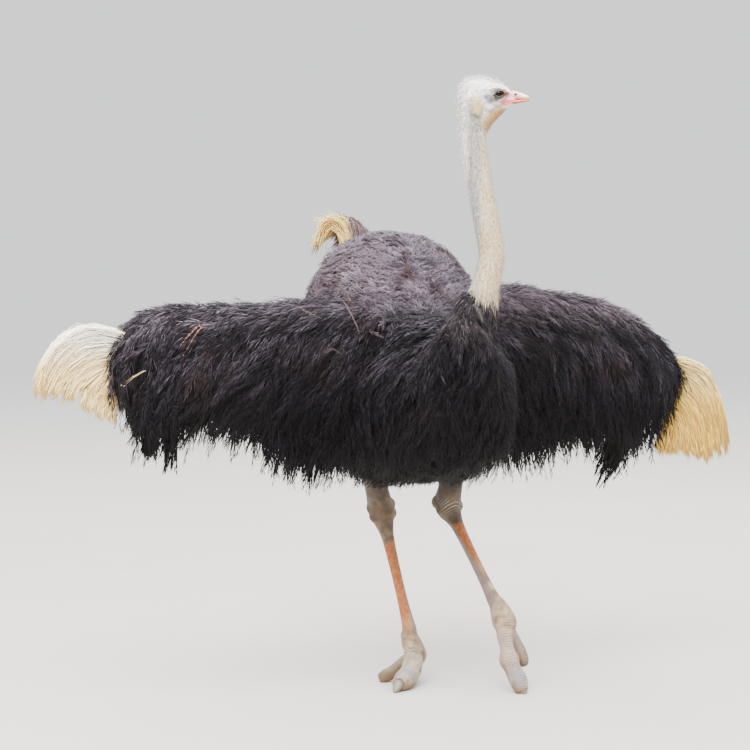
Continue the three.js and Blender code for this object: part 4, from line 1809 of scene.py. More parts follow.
    def down(self) -> bpy.types.Material:
        """The pale down of head and neck.

        Returns:
            The material.
        """
        graph = Graph("down")
        colour = self.marks.neck(graph)
        shaded = graph.shade(colour, 0.40 + 0.85 * graph.trait("tone"))
        pale = graph.mix(graph.trait("tone") * 0.26, shaded, paint(253, 251, 246))
        return graph.dressed(pale, 0.7 + 0.2 * graph.noise(90.0))

    def plumes(self, name: str, top: tuple, low: tuple, deep: tuple, levels: tuple) -> bpy.types.Material:
        """Silky pale plumes, warmer towards their ends.

        Args:
            name: the finish's name.
            top: the colour of the upper parts.
            low: the colour of the lower parts.
            deep: the colour of low-toned strands: painted shade of those lying deeper, and of darker locks at
                random.
            levels: heights of the upper and the lower parts.

        Returns:
            The material.
        """
        graph = Graph(name, Specular_IOR_Level=0.3)
        blotch = graph.noise(9.0, 3.0)
        fall = 1.0 - self.marks.level(graph, levels[1], levels[0])
        colour = graph.mix(fall * 0.8 + blotch.rise(0.40, 0.75) * 0.2, top, low)
        # Painted shade: low-toned strands, many lying deeper in the fan, take the deep colour.
        colour = graph.mix((1.0 - graph.trait("tone")) ** 2.0 * 0.8, colour, deep)
        return graph.dressed(colour, 0.5 + 0.2 * blotch)

    def sprays(self, name: str, dark: tuple, pale: tuple) -> bpy.types.Material:
        """Odd feathers in the wing, from one colour to another by their tone.

        Args:
            name: the finish's name.
            dark: the darkest.
            pale: the palest.

        Returns:
            The material.
        """
        graph = Graph(name, Specular_IOR_Level=0.2)
        return graph.dressed(graph.mix(graph.trait("tone"), dark, pale), 0.5 + 0.2 * graph.noise(40.0))

    def tail(self) -> bpy.types.Material:
        """Yellow-cream plumes over mauve-brown ones.

        Returns:
            The material.
        """
        graph = Graph("tail_plumes", Specular_IOR_Level=0.3)
        left = graph.along(self.marks.bird.shift, np.array([1.0, 0.15, 0.0])) + 0.04 * graph.noise(14.0)
        colour = graph.mix(graph.trait("tone"), paint(186, 140, 66), paint(244, 214, 138))
        brown = graph.mix(graph.trait("tone"), paint(54, 38, 42), paint(113, 90, 90))
        colour = graph.mix(left.rise(0.100, 0.150), colour, brown)
        colour = graph.mix(self.marks.level(graph, 1.46, 1.38) * 0.5, colour, paint(138, 112, 96))
        return graph.dressed(colour, 0.5 + 0.2 * graph.noise(9.0, 3.0))

    def bill(self, name: str, base: tuple, tip: tuple) -> bpy.types.Material:
        """Horn that pales to its tip, pink along the lips, with red nostrils and fine growth lines.

        Args:
            name: the finish's name.
            base: the colour at the head.
            tip: the colour at the tip.

        Returns:
            The material.
        """
        bird = self.marks.bird
        gloss = {"Coat_Weight": 0.12, "Coat_Roughness": 0.3}
        graph = Graph(name, **gloss, Subsurface_Weight=0.05, Subsurface_Scale=0.004)
        far = graph.along(bird.cranium + bird.shift, bird.forward)
        lines = graph.noise(1.0, 2.0, graph.stretch((900.0, 900.0, 220.0)))
        low = graph.along(bird.on_head(0.100, 0, 0.002) + bird.shift, UP - 0.1 * bird.forward)
        colour = graph.mix(low.rise(0.006, -0.004) * 0.7, base, PINK)
        # Painted highlight: the upper side of the bill is paler.
        colour = graph.mix(low.rise(0.004, 0.012) * 0.6, colour, paint(222, 196, 176))
        colour = graph.mix(low.rise(0.000, 0.006) * far.rise(0.104, 0.086) * 0.8, colour, LORE)
        colour = graph.mix(far.rise(0.116, 0.132), colour, tip)
        hook = far.rise(0.118, 0.136) * low.rise(0.000, -0.008)
        colour = graph.mix(hook * 0.7, colour, paint(198, 138, 84))
        colour = graph.mix(self.marks.lips(graph) * (0.9 - 0.9 * far.rise(0.122, 0.142)), colour, PINK)
        under = graph.along(bird.on_head(0.120, 0, -0.012) + bird.shift, -UP).rise(-0.001, 0.004)
        colour = graph.mix(under * 0.9, colour, paint(150, 84, 34))
        nostril = self.marks.both(graph, (107.5, 16.0, 6.2, 3.4, 7.6))
        colour = graph.mix(nostril, colour, paint(92, 24, 28))
        graph.bump(lines, 0.0003)
        return graph.dressed(graph.shade(colour, 0.86 + 0.22 * lines), 0.35 + 0.2 * lines)

    def claw(self) -> bpy.types.Material:
        """Grey-brown horn with lengthwise streaks.

        Returns:
            The material.
        """
        graph = Graph("claw", Coat_Weight=0.1)
        streaks = graph.noise(1.0, 3.0, graph.stretch((420.0, 120.0, 420.0)))
        graph.bump(streaks, 0.0004)
        colour = graph.mix(streaks, paint(70, 60, 52), paint(134, 122, 108))
        return graph.dressed(colour, 0.35 + 0.25 * streaks)

    def eye(self, eye: Eye) -> bpy.types.Material:
        """A dark brown iris round a black pupil, under a wet clear cornea.

        Args:
            eye: the eye.

        Returns:
            The material.
        """
        graph = Graph(f"eye_{eye.side.word}", Coat_Weight=0.16, Coat_Roughness=0.06, Specular_IOR_Level=0.1)
        front = eye.centre + eye.out * eye.radius + self.marks.bird.shift
        edge = 0.001
        pupil = graph.spot(front, eye.pupil, eye.pupil + edge)
        iris = graph.spot(front, eye.iris, eye.iris + edge)
        rays = graph.noise(420.0, 4.0)
        colour = graph.mix(rays.rise(0.3, 0.7), paint(16, 9, 6), paint(44, 24, 15))
        colour = graph.mix(iris, paint(60, 50, 46), colour)
        return graph.dressed(graph.mix(pupil, colour, paint(8, 6, 6)), 0.12 + 0.1 * rays)

    def lashes(self) -> bpy.types.Material:
        """Black bristle.

        Returns:
            The material.
        """
        graph = Graph("lashes")
        colour = graph.mix(graph.noise(300.0), paint(14, 11, 10), paint(40, 32, 28))
        return graph.dressed(colour, 0.4 + 0.2 * graph.noise(200.0))


# ---- eyes, bill and nails ----


def build_eye(eye: Eye, finishes: Finishes) -> None:
    """Places one eyeball, with its cornea standing a little proud.

    Args:
        eye: the eye.
        finishes: every finish.
    """
    shape = ball(eye.centre, eye.radius, 32)
    off = shape.points - eye.centre
    facing = unit(off) @ eye.out
    points = shape.points + unit(off) * (0.0012 * rise(facing, 0.80, 1.0))[:, None]
    piece = Piece(f"eyeball_{eye.side.word}", "eye", finishes.eye(eye), (f"eye_{eye.side.word}",))
    piece.from_shape(Shape(points, shape.faces), eye.bird)


LASH_CLUMPS = 52  # clumps of three bristles on an upper lid


def build_lashes(eye: Eye, finish: bpy.types.Material, chart: Chart, rng: np.random.Generator) -> None:
    """Places the bristles of both lids of one eye.

    Args:
        eye: the eye.
        finish: the piece's finish.
        chart: gives a root's place on the unwrapped skin.
        rng: the seeded source of chance.
    """
    above, below = 3 * LASH_CLUMPS, 14
    upper = np.repeat(np.linspace(0.02, math.pi + 0.10, LASH_CLUMPS), 3) + rng.normal(0, 0.03, above)
    lower = np.linspace(math.pi + 0.35, 2 * math.pi - 0.35, below)
    turn = np.concatenate([upper, lower])
    count = len(turn)
    long = np.concatenate([np.full(above, 0.0105), np.full(below, 0.0045)]) * rng.uniform(0.7, 1.15, count)
    rim = eye.rim(turn, 0.0006)
    depth = np.sqrt((eye.radius + 0.002) ** 2 - np.sum(rim**2, axis=1))
    root = eye.centre + rim + depth[:, None] * eye.out
    aim = unit(0.9 * eye.out + unit(rim) * 0.55 - 0.30 * eye.ahead + rng.normal(0, 0.12, (count, 3)))
    ends = [root, root + aim * long[:, None] * 0.6, root + (aim * 0.8 + unit(rim) * 0.35) * long[:, None]]
    half = unit(np.cross(aim, eye.high)) * 0.00040
    tufts = Tufts(ends, half, rng.uniform(0, 1, count), rings=2, keel=0.8)
    Piece(f"lashes_{eye.side.word}", "plumage_black", finish).from_tufts(tufts, eye.bird, chart)


@dataclass
class Bill:
    """The broad flat bill: an upper half with nostrils and a nail, and a lower half. Rows in millimetres."""

    head: Head
    upper: tuple[Row, ...] = (
        (80, 2, 21, 15, 2.2),
        (92, 3, 20.5, 15.5, 2.3),
        (104, 3.5, 19.5, 14, 2.3),
        (118, 2.2, 17.5, 11.5, 2.3),
        (130, 0.4, 15, 9, 2.3),
        (140, -1.8, 12.5, 7, 2.3),
        (147, -4.2, 8.5, 5, 2.1),
        (151, -6.5, 3, 2),
    )
    lower: tuple[Row, ...] = (
        (78, -19, 18.5, 9),
        (92, -16.5, 18, 8),
        (108, -14.2, 16.8, 6.6),
        (124, -12, 14.5, 5.4),
        (138, -10.6, 11, 4.4),
        (146, -9.6, 6.5, 3),
        (149, -9, 2.5, 1.4),
    )

    def build(self, finishes: Finishes) -> None:
        """Places both halves.

        Args:
            finishes: every finish.
        """
        bird = self.head.bird
        upper = loft(self.head.rows(self.upper), 72, 110)
        local = bird.head_axes(upper.points) * MM
        normal = upper.normals()
        lengthwise = rise(local[:, 0], 88, 100) * rise(-local[:, 0], -140, -132)
        above = rise(local[:, 2], 2, 7)
        push = 1.0 * np.exp(-((local[:, 1] / 4.0) ** 2)) * lengthwise * above
        push -= 0.8 * np.exp(-(((np.abs(local[:, 1]) - 7.5) / 2.2) ** 2)) * lengthwise * above
        for hand in (-1, 1):
            slit = (local - np.array([107.5, hand * 16.0, 6.2])) / np.array([5.5, 6.0, 2.6])
            push -= 4.5 * np.exp(-np.sum(slit**2, axis=1))
        nail = rise(local[:, 0], 137, 138.5)
        push += 0.5 * nail * rise(local[:, 2], -6, -2)
        lip = np.exp(-(((local[:, 2] - np.interp(local[:, 0], (84, 150), (-11, -8.5))) / 1.4) ** 2))
        push += 0.6 * lip
        shape = Shape(upper.points + normal * push[:, None] / MM, upper.faces)
        finish = finishes.bill("bill_upper", paint(218, 166, 154), paint(244, 228, 200))
        Piece("upper_bill", "bill", finish, ("bill_upper",)).from_shape(shape, bird)
        lower = loft(self.head.rows(self.lower), 64, 90)
        finish = finishes.bill("bill_lower", paint(188, 134, 82), paint(184, 120, 52))
        Piece("lower_bill", "bill", finish, ("bill_lower",)).from_shape(lower, bird)


# share of the nail's length, half width and half height in millimetres
NAIL_SIZES = (
    (-0.25, 11, 10),
    (0.0, 15, 13.5),
    (0.3, 15, 12.5),
    (0.6, 12.5, 10),
    (0.85, 8, 6),
    (1.0, 2.5, 2.0),
)


def build_nail(leg: Leg, finishes: Finishes, bird: Bird) -> None:
    """Places the big toe's nail: blunt, ridged and flat beneath.

    Args:
        leg: the leg.
        finishes: every finish.
        bird: the landmarks.
    """
    start = np.array(leg.inner[-1]) / MM
    end = np.array(leg.claw) / MM
    lift = 0.003 * UP
    rows = []
    for t, wide, high in NAIL_SIZES:
        rows.append((*(start + (end - start) * t + lift * (1 - t)), wide / MM, high / MM, 2.3))
    shape = loft(rows, 40, 50)
    along = (shape.points - start) @ unit(end - start)
    ridges = 0.00035 * np.sin(along * 2 * math.pi / 0.0045)
    shape = Shape(shape.points + shape.normals() * ridges[:, None], shape.faces)
    piece = Piece(f"nail_{leg.side.word}", "claw", finishes.claw(), (f"claw_{leg.side.word}",))
    piece.from_shape(leg.floored(shape, -bird.shift[2]), bird)


# ---- coat ----


NECK_FOOT = np.array([-0.02, -0.60, 1.24])  # where the neck comes out of the plumage
WING_SWEEP = 0.165  # how far a wing runs back for each length out


def follow(way: np.ndarray, normal: np.ndarray) -> np.ndarray:
    """The way turned to run along the surface, but free to leave it where it runs out of it."""
    return unit(way - np.minimum(dots(way, normal), 0.0) * normal)


def toward_side(points: np.ndarray) -> np.ndarray:
    """The way out along the nearer wing, for each point."""
    side = np.where(points[:, :1] >= 0, 1.0, -1.0)
    return unit(side * LEFTWARD - WING_SWEEP * AHEAD)


def wing_middle(out: np.ndarray) -> np.ndarray:
    """How far back a wing's middle plane lies, at a distance out from the bird's middle."""
    return -0.285 + WING_SWEEP * (out - 0.215)


def wing_part(points: np.ndarray) -> np.ndarray:
    """1 on the wings and 0 on the trunk."""
    out = np.abs(points[:, 0])
    return np.maximum((out > 0.25) & (points[:, 1] < wing_middle(out) + 0.16), out > 0.33).astype(float)


def wing_lie(points: np.ndarray, normal: np.ndarray) -> np.ndarray:
    """Feathers run outwards at the wing's upper edge and turn down towards its hem and its end.

    Args:
        points: the places.
        normal: their normals.

    Returns:
        One direction for each place.
    """
    out = np.abs(points[:, 0])
    fall = np.clip((1.29 - points[:, 2]) / 0.52, 0.0, 1.0)
    turn = np.radians(14 + 62 * fall**0.9 + 16 * rise(out, 0.78, 1.0))[:, None]
    return follow(toward_side(points) * np.cos(turn) - UP * np.sin(turn), normal)


def trunk_lie(points: np.ndarray, normal: np.ndarray) -> np.ndarray:
    """Feathers fan out from the neck's base over the breast, hang on the belly and run back over the back.

    Args:
        points: the places.
        normal: their normals.

    Returns:
        One direction for each place.
    """
    from_neck = unit((points - NECK_FOOT) * np.array([1.0, 0.4, 1.0]))
    breast = unit(from_neck * 0.9 - UP * 0.6)
    belly = unit(-UP - 0.45 * AHEAD + 0.25 * toward_side(points))
    back = unit(-AHEAD - 0.45 * UP + 0.35 * toward_side(points))
    ahead = rise(-points[:, 1:2], 0.22, 0.46)
    top = rise(points[:, 2:], 1.06, 1.26)
    way = belly * (1 - top) + back * top
    return follow(way * (1 - ahead) + breast * ahead, normal)


def ruff_lie(points: np.ndarray, normal: np.ndarray) -> np.ndarray:
    """Strands run down and outwards all round the neck's base."""
    outwards = unit((points - NECK_FOOT) * np.array([1.0, 0.7, 0.0]))
    return follow(unit(0.75 * outwards - UP), normal)


SWAY_FIELD, HOLLOW_FIELD, TONE_FIELD = (0.22, 0.4), (0.11, 1.9), (0.13, 3.1)  # size and turn, for drift


def drift(points: np.ndarray, size: float, turn: float) -> np.ndarray:
    """A smooth wandering value from -1 to 1 over the bird, so that neighbouring feathers keep together.

    Args:
        points: the places.
        size: about how far apart its hills are, in metres.
        turn: picks one of many such fields.

    Returns:
        One value for each point.
    """
    p = points * (2 * math.pi / size)
    a = np.sin(p[:, 0] + 1.3 * np.sin(0.7 * p[:, 2] + turn) + 2.1 * turn)
    b = np.sin(0.9 * p[:, 2] + 1.1 * np.sin(0.8 * p[:, 0] - turn) + 0.6 * p[:, 1])
    c = np.sin(0.8 * p[:, 1] + 0.9 * np.sin(0.9 * p[:, 2] + 1.7 * turn) + turn)
    return (a + b + c) / 3 * 1.4


@dataclass
class Region:
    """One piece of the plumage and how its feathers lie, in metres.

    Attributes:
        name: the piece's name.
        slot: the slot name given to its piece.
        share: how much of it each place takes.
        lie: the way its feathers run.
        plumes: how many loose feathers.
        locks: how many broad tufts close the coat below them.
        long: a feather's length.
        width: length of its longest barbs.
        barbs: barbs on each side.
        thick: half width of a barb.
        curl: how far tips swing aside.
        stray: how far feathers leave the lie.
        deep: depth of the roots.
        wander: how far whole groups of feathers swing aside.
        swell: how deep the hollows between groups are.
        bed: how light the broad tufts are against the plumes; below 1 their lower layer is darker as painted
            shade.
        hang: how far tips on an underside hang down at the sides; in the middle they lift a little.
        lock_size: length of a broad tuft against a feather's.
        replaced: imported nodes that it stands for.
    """

    name: str
    slot: str
    share: Share
    lie: Lie
    plumes: int
    locks: int
    long: float
    width: float
    barbs: int = 14
    thick: float = 0.0015
    curl: float = 0.016
    stray: float = 0.15
    deep: float = 0.045
    wander: float = 0.35
    swell: float = 0.016
    bed: float = 0.5
    hang: float = 0.048
    lock_size: float = 0.9
    replaced: tuple[str, ...] = ()

    def feathers(self, envelope: Envelope, rng: np.random.Generator) -> Tufts:
        """Broad locks that close the coat, and loose plumes over them.

        Args:
            envelope: the plumage's outer shape.
            rng: the seeded source of chance.

        Returns:
            All of them as tufts.
        """
        spots, ends, tone = self.lay(envelope, self.locks, self.lock_size, rng)
        half = unit(np.cross(ends[2] - ends[0], spots[1])) * rng.uniform(0.006, 0.011, (self.locks, 1))
        ends[2] = ends[2] - spots[1] * 0.010
        # The broad tufts below the plumes are darker by bed: painted shade of the lower layer.
        locks = Tufts(ends, half, tone * self.bed, rings=1, keel=0.2)
        spots, ends, tone = self.lay(envelope, self.plumes, 1.0, rng)
        width = self.width * rng.uniform(0.7, 1.25, self.plumes)
        plumes = Plumes(ends, spots[1], width, tone, self.barbs, thick=self.thick)
        return merge([locks, plumes.tufts(rng)])

    def lay(self, envelope: Envelope, count: int, size: float, rng: np.random.Generator) -> tuple:
        """Scatters feathers with their tips on the plumage's outer shape.

        Args:
            envelope: that shape.
            count: how many feathers.
            size: scales their lengths.
            rng: the seeded source of chance.

        Returns:
            The spots, the feathers' curves and their tones.
        """
        spots = envelope.sample(count, self.share, rng)
        points, normal, _ = spots
        way = self.lie(points, normal)
        aside = unit(np.cross(way, normal))
        sway = self.wander * drift(points, *SWAY_FIELD)[:, None]
        way = follow(unit(way + sway * aside + rng.normal(0, self.stray, way.shape)), normal)
        long = self.long * size * rng.uniform(0.7, 1.25, count)
        ends = envelope.strands(spots, way, long, self.deep)
        hollow = self.swell * (0.5 - 0.5 * drift(points, *HOLLOW_FIELD))[:, None]
        swing = rng.normal(0.0, 1.0, (count, 1)) * aside + rng.uniform(-0.35, 0.35, (count, 1)) * normal
        ends[1] = ends[1] - hollow * normal
        ends[2] = ends[2] + self.curl * swing + way * rng.uniform(0, 0.012, (count, 1)) - hollow * normal
        under = rise(-normal[:, 2:], -0.05, 0.5) * rng.uniform(0.1, 1.0, (count, 1))
        beside = 1.25 * rise(np.abs(points[:, :1]), 0.08, 0.20) - 0.25
        ends[2] = ends[2] - self.hang * beside * under * UP
        corner = rise(points[:, :1], 0.84, 0.98) * rise(-points[:, 2:], -1.06, -0.94)
        ends[2] = ends[2] + 0.035 * corner * rng.uniform(0.3, 1.0, (count, 1)) * toward_side(points)
        tone = rng.beta(1.6, 2.4, count) + 0.16 * drift(points, *TONE_FIELD)
        return spots, ends, np.clip(tone, 0, 1)

    def build(
        self, envelope: Envelope, finish: bpy.types.Material, bird: Bird, chart: Chart, seed: int
    ) -> None:
        """Places the piece."""
        tufts = self.feathers(envelope, np.random.default_rng(seed))
        Piece(self.name, self.slot, finish, self.replaced).from_tufts(tufts, bird, chart)


def wing_chart(points: np.ndarray) -> np.ndarray:
    """The wing's skin unrolled: outwards one way, and over its front, hem and back the other.

    Args:
        points: the places.

    Returns:
        The charted places, each way from 0 to 1.
    """
    out = np.abs(points[:, 0])
    level = np.clip((points[:, 2] - 0.65) / 0.72, 0, 1)
    behind = points[:, 1] > wing_middle(out)
    return np.stack([(out - 0.15) / 0.95, np.where(behind, 0.5 + 0.5 * level, 0.5 - 0.5 * level)], axis=1)


def trunk_chart(points: np.ndarray) -> np.ndarray:
    """The trunk's skin unrolled about its length."""
    turn = np.arctan2(points[:, 0], points[:, 2] - 1.05) / (2 * math.pi) + 0.5
    return np.stack([turn, (points[:, 1] + 0.65) / 1.2], axis=1)


def neck_chart(points: np.ndarray) -> np.ndarray:
    """The neck's and head's skin unrolled about the neck."""
    turn = np.arctan2(points[:, 0] + 0.005, points[:, 1] + 0.635) / (2 * math.pi) + 0.5
    return np.stack([turn, (points[:, 2] - 1.2) / 0.8], axis=1)


def regions() -> list[tuple[Region, Chart]]:
    """The black and brown plumage, in pieces of fewer than 200,000 triangles.

    Returns:
        The regions, each with its chart.
    """
    found: list[tuple[Region, Chart]] = []
    for side in Side:
        for face, sign, plumes in (("front", -1.0, 960), ("back", 1.0, 640)):

            def share(
                points: np.ndarray, normal: np.ndarray, hand: int = side.value, way: float = sign
            ) -> np.ndarray:
                """The wing's front or back face."""
                return wing_part(points) * (points[:, 0] * hand > 0) * (normal[:, 1] * way > 0)

            replaced = tuple(n for n in FRINGE_NODES if side.word in n) if sign < 0 else ()
            name = f"wing_{side.word}_{face}"
            region = Region(
                name,
                "plumage_black",
                share,
                wing_lie,
                plumes,
                locks=1200,
                long=0.19,
                width=0.052,
                hang=0.075,
                replaced=replaced,
            )
            found.append((region, wing_chart))

    def ruff(points: np.ndarray, normal: np.ndarray) -> np.ndarray:
        """The foot of the neck."""
        return rise(-np.linalg.norm((points - NECK_FOOT) * (1.0, 0.8, 0.7), axis=1), -0.13, -0.08)

    def low(points: np.ndarray, normal: np.ndarray) -> np.ndarray:
        """Breast, belly and flanks."""
        return (1 - wing_part(points)) * (points[:, 2] < 1.16) * (points[:, 1] < 0.0)

    def high(points: np.ndarray, normal: np.ndarray) -> np.ndarray:
        """The back."""
        trunk = (1 - wing_part(points)) * (1 - ruff(points, normal))
        return trunk * (points[:, 2] >= 1.16) * (points[:, 1] < 0.1)

    def behind(points: np.ndarray, normal: np.ndarray) -> np.ndarray:
        """Rump and the flanks behind the legs."""
        trunk = (1 - wing_part(points)) * (points[:, 1] >= 0.0)
        return trunk * ((points[:, 2] < 1.16) | (points[:, 1] >= 0.1))

    body = Region(
        "breast_feathers",
        "plumage_body",
        low,
        trunk_lie,
        plumes=1050,
        locks=1400,
        long=0.17,
        width=0.050,
        replaced=("breast_fringe",),
    )
    back = Region(
        "back_feathers",
        "plumage_brown",
        high,
        trunk_lie,
        plumes=1380,
        locks=3200,
        long=0.056,
        width=0.022,
        barbs=9,
        thick=0.0013,
        curl=0.006,
        stray=0.35,
        wander=0.8,
        deep=0.026,
        swell=0.003,
        bed=0.74,
    )
    rump = Region(
        "rump_feathers", "plumage_brown", behind, trunk_lie, plumes=760, locks=2200, long=0.14, width=0.044
    )
    collar = Region(
        "neck_base_feathers",
        "plumage_body",
        ruff,
        ruff_lie,
        plumes=300,
        locks=700,
        long=0.10,
        width=0.032,
        thick=0.0012,
        stray=0.10,
        deep=0.020,
        curl=0.006,
    )
    return found + [(region, trunk_chart) for region in (body, back, rump, collar)]


DOWN_FOOT = 1.26  # level above which the skin can carry down


@dataclass
class Down:
    """The short pale down of the neck and head, with a collar of longer feathers at its foot."""

    bird: Bird
    collar: float = 1.270  # level of the collar's lowest roots
    neck_top: float = 1.80
    length: float = 0.0115  # on the neck
    crown_more: float = 0.0070
    cheek_less: float = 0.0062
    collar_more: float = 0.026

    def spread(self, points: np.ndarray, normal: np.ndarray) -> np.ndarray:
        """How thickly each place is covered: not round the eyes, on the gape or before them.

        Args:
            points: the places.
            normal: their normals; not used.

        Returns:
            A share for each place.
        """
        local = self.bird.head_axes(points)
        eye = np.hypot(local[:, 0] - 0.056, 1.25 * (local[:, 2] - 0.004))
        face = rise(eye, 0.017, 0.026)
        line = np.interp(local[:, 0], (0.060, 0.108), (-0.021, -0.012))
        lips = 1.0 - rise(local[:, 0], 0.054, 0.062) * (1.0 - rise(np.abs(local[:, 2] - line), 0.007, 0.013))
        lore = 1.0 - rise(local[:, 0], 0.074, 0.086) * (1.0 - rise(local[:, 2], 0.014, 0.024))
        front = 1.0 - rise(local[:, 0], 0.094, 0.104)
        base = rise(points[:, 2], self.collar - 0.01, self.collar + 0.01)
        return np.where(points[:, 2] > self.neck_top, face * lips * lore * front * 2.0, base)

    def lie(self, points: np.ndarray, normal: np.ndarray) -> np.ndarray:
        """Down hangs on the neck and runs back and down over the head.

        Args:
            points: the places.
            normal: their normals.

        Returns:
            One direction for each place.
        """
        share = rise(points[:, 2:], self.neck_top, self.neck_top + 0.05)
        way = -UP * (1 - share) + (-0.8 * self.bird.forward - 0.5 * UP) * share
        return unit(way - dots(way, normal) * normal)

    def lay(self, flesh: Envelope, count: int, scale: float, stand: float, half: float, seed: int) -> Tufts:
        """Scatters tufts on the skin.

        Args:
            flesh: the skin of head and neck.
            count: how many tufts.
            scale: scales their lengths.
            stand: how far they stand off the skin.
            half: half width of a tuft.
            seed: for the source of chance.

        Returns:
            The tufts.
        """
        rng = np.random.default_rng(seed)
        points, normal, _ = flesh.sample(count, self.spread, rng)
        way = unit(self.lie(points, normal) + rng.normal(0, 0.22, points.shape))
        local = self.bird.head_axes(points)
        head = points[:, 2] > self.neck_top
        crown = rise(local[:, 2] - 0.25 * local[:, 0], -0.006, 0.026) * head
        nape = rise(-local[:, 0], 0.024, 0.046)
        cheek = (1 - crown) * (1 - nape) * rise(local[:, 0], -0.02, 0.03) * head
        collar = rise(-points[:, 2], -self.collar - 0.060, -self.collar)
        long = self.length + self.crown_more * np.maximum(crown, nape)
        long = long - self.cheek_less * cheek + self.collar_more * collar
        long = (long * scale * rng.uniform(0.7, 1.3, count))[:, None]
        lift = stand * (0.55 + 0.65 * crown + 0.60 * nape - 0.25 * cheek - 0.25 * collar)
        lift = lift[:, None] * rng.uniform(0.5, 1.5, (count, 1))
        aim = unit(way + lift * normal)
        root = points - 0.001 * normal
        tip = root + unit(aim - 0.35 * UP * (1 - crown[:, None])) * long
        across = unit(np.cross(aim, normal)) * half * (1.0 + 1.4 * collar[:, None])
        tone = np.clip(rng.beta(2, 2, count), 0, 1)
        return Tufts([root, root + aim * long * 0.5 + normal * long * 0.06, tip], across, tone)

    def build(self, flesh: Envelope, finish: bpy.types.Material) -> None:
        """Places the down and the halo of finer hairs.

        Args:
            flesh: the skin of head and neck.
            finish: the piece's finish.
        """
        coat = self.lay(flesh, 17500, scale=1.0, stand=1.0, half=0.00075, seed=Seed.DOWN)
        halo = self.lay(flesh, 4500, scale=1.5, stand=1.9, half=0.00032, seed=Seed.DOWN + 1)
        Piece("down", "down", finish).from_tufts(merge([coat, halo]), self.bird, neck_chart)


@dataclass
class Streamers:
    """Ragged bundles of long feathers that hang from a wing's hem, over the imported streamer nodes."""

    side: Side
    count: int
    spread: float
    shift: float = 0.0
    lifts: tuple[float, float] = (0.0, 0.0)  # how far the tips of each bundle are raised

    def build(self, bird: Bird, finish: bpy.types.Material, seed: int) -> None:
        """Places both bundles of one wing.

        Args:
            bird: the landmarks.
            finish: the piece's finish.
            seed: for the source of chance.
        """
        rng = np.random.default_rng(seed)
        nodes = tuple(f"wing_{self.side.word}_streamer_{n}" for n in (1, 2))
        starts, bends, tips = [], [], []
        for node, lift in zip(nodes, self.lifts):
            low, high = (np.array(corner) - bird.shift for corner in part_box(node))
            low[2] += lift
            centre = (low + high) / 2
            size = (high - low) * np.array([0.30, 0.40, 0.0])
            top = size + np.array([self.spread, 0.0, 0.0])
            for _ in range(self.count):
                start = centre + top * rng.uniform(-1, 1, 3)
                start[0] += self.shift
                start[2] = high[2] + 0.06
                tip = centre + (0.6 * size + 0.4 * top) * rng.uniform(-1.0, 1.0, 3)
                tip[2] = low[2] + (high[2] - low[2]) * rng.uniform(0.05, 0.8)
                starts.append(start)
                tips.append(tip)
                bends.append((start + tip) / 2 + top * rng.uniform(-0.4, 0.4, 3))
        ends = [np.array(points) for points in (starts, bends, tips)]
        total = len(tips)
        face = unit(np.tile(AHEAD, (total, 1)) + rng.normal(0, 0.6, (total, 3)))
        tone = rng.uniform(0.0, 0.6, total)
        width = np.full(total, 0.045)
        plumes = Plumes(ends, face, width, tone, barbs=18, spread=0.30, thick=0.0016, sag=0.6, fluff=0.07)
        piece = Piece(f"streamers_{self.side.word}", "plumage_black", finish, nodes)
        piece.from_tufts(plumes.tufts(rng), bird, wing_chart)


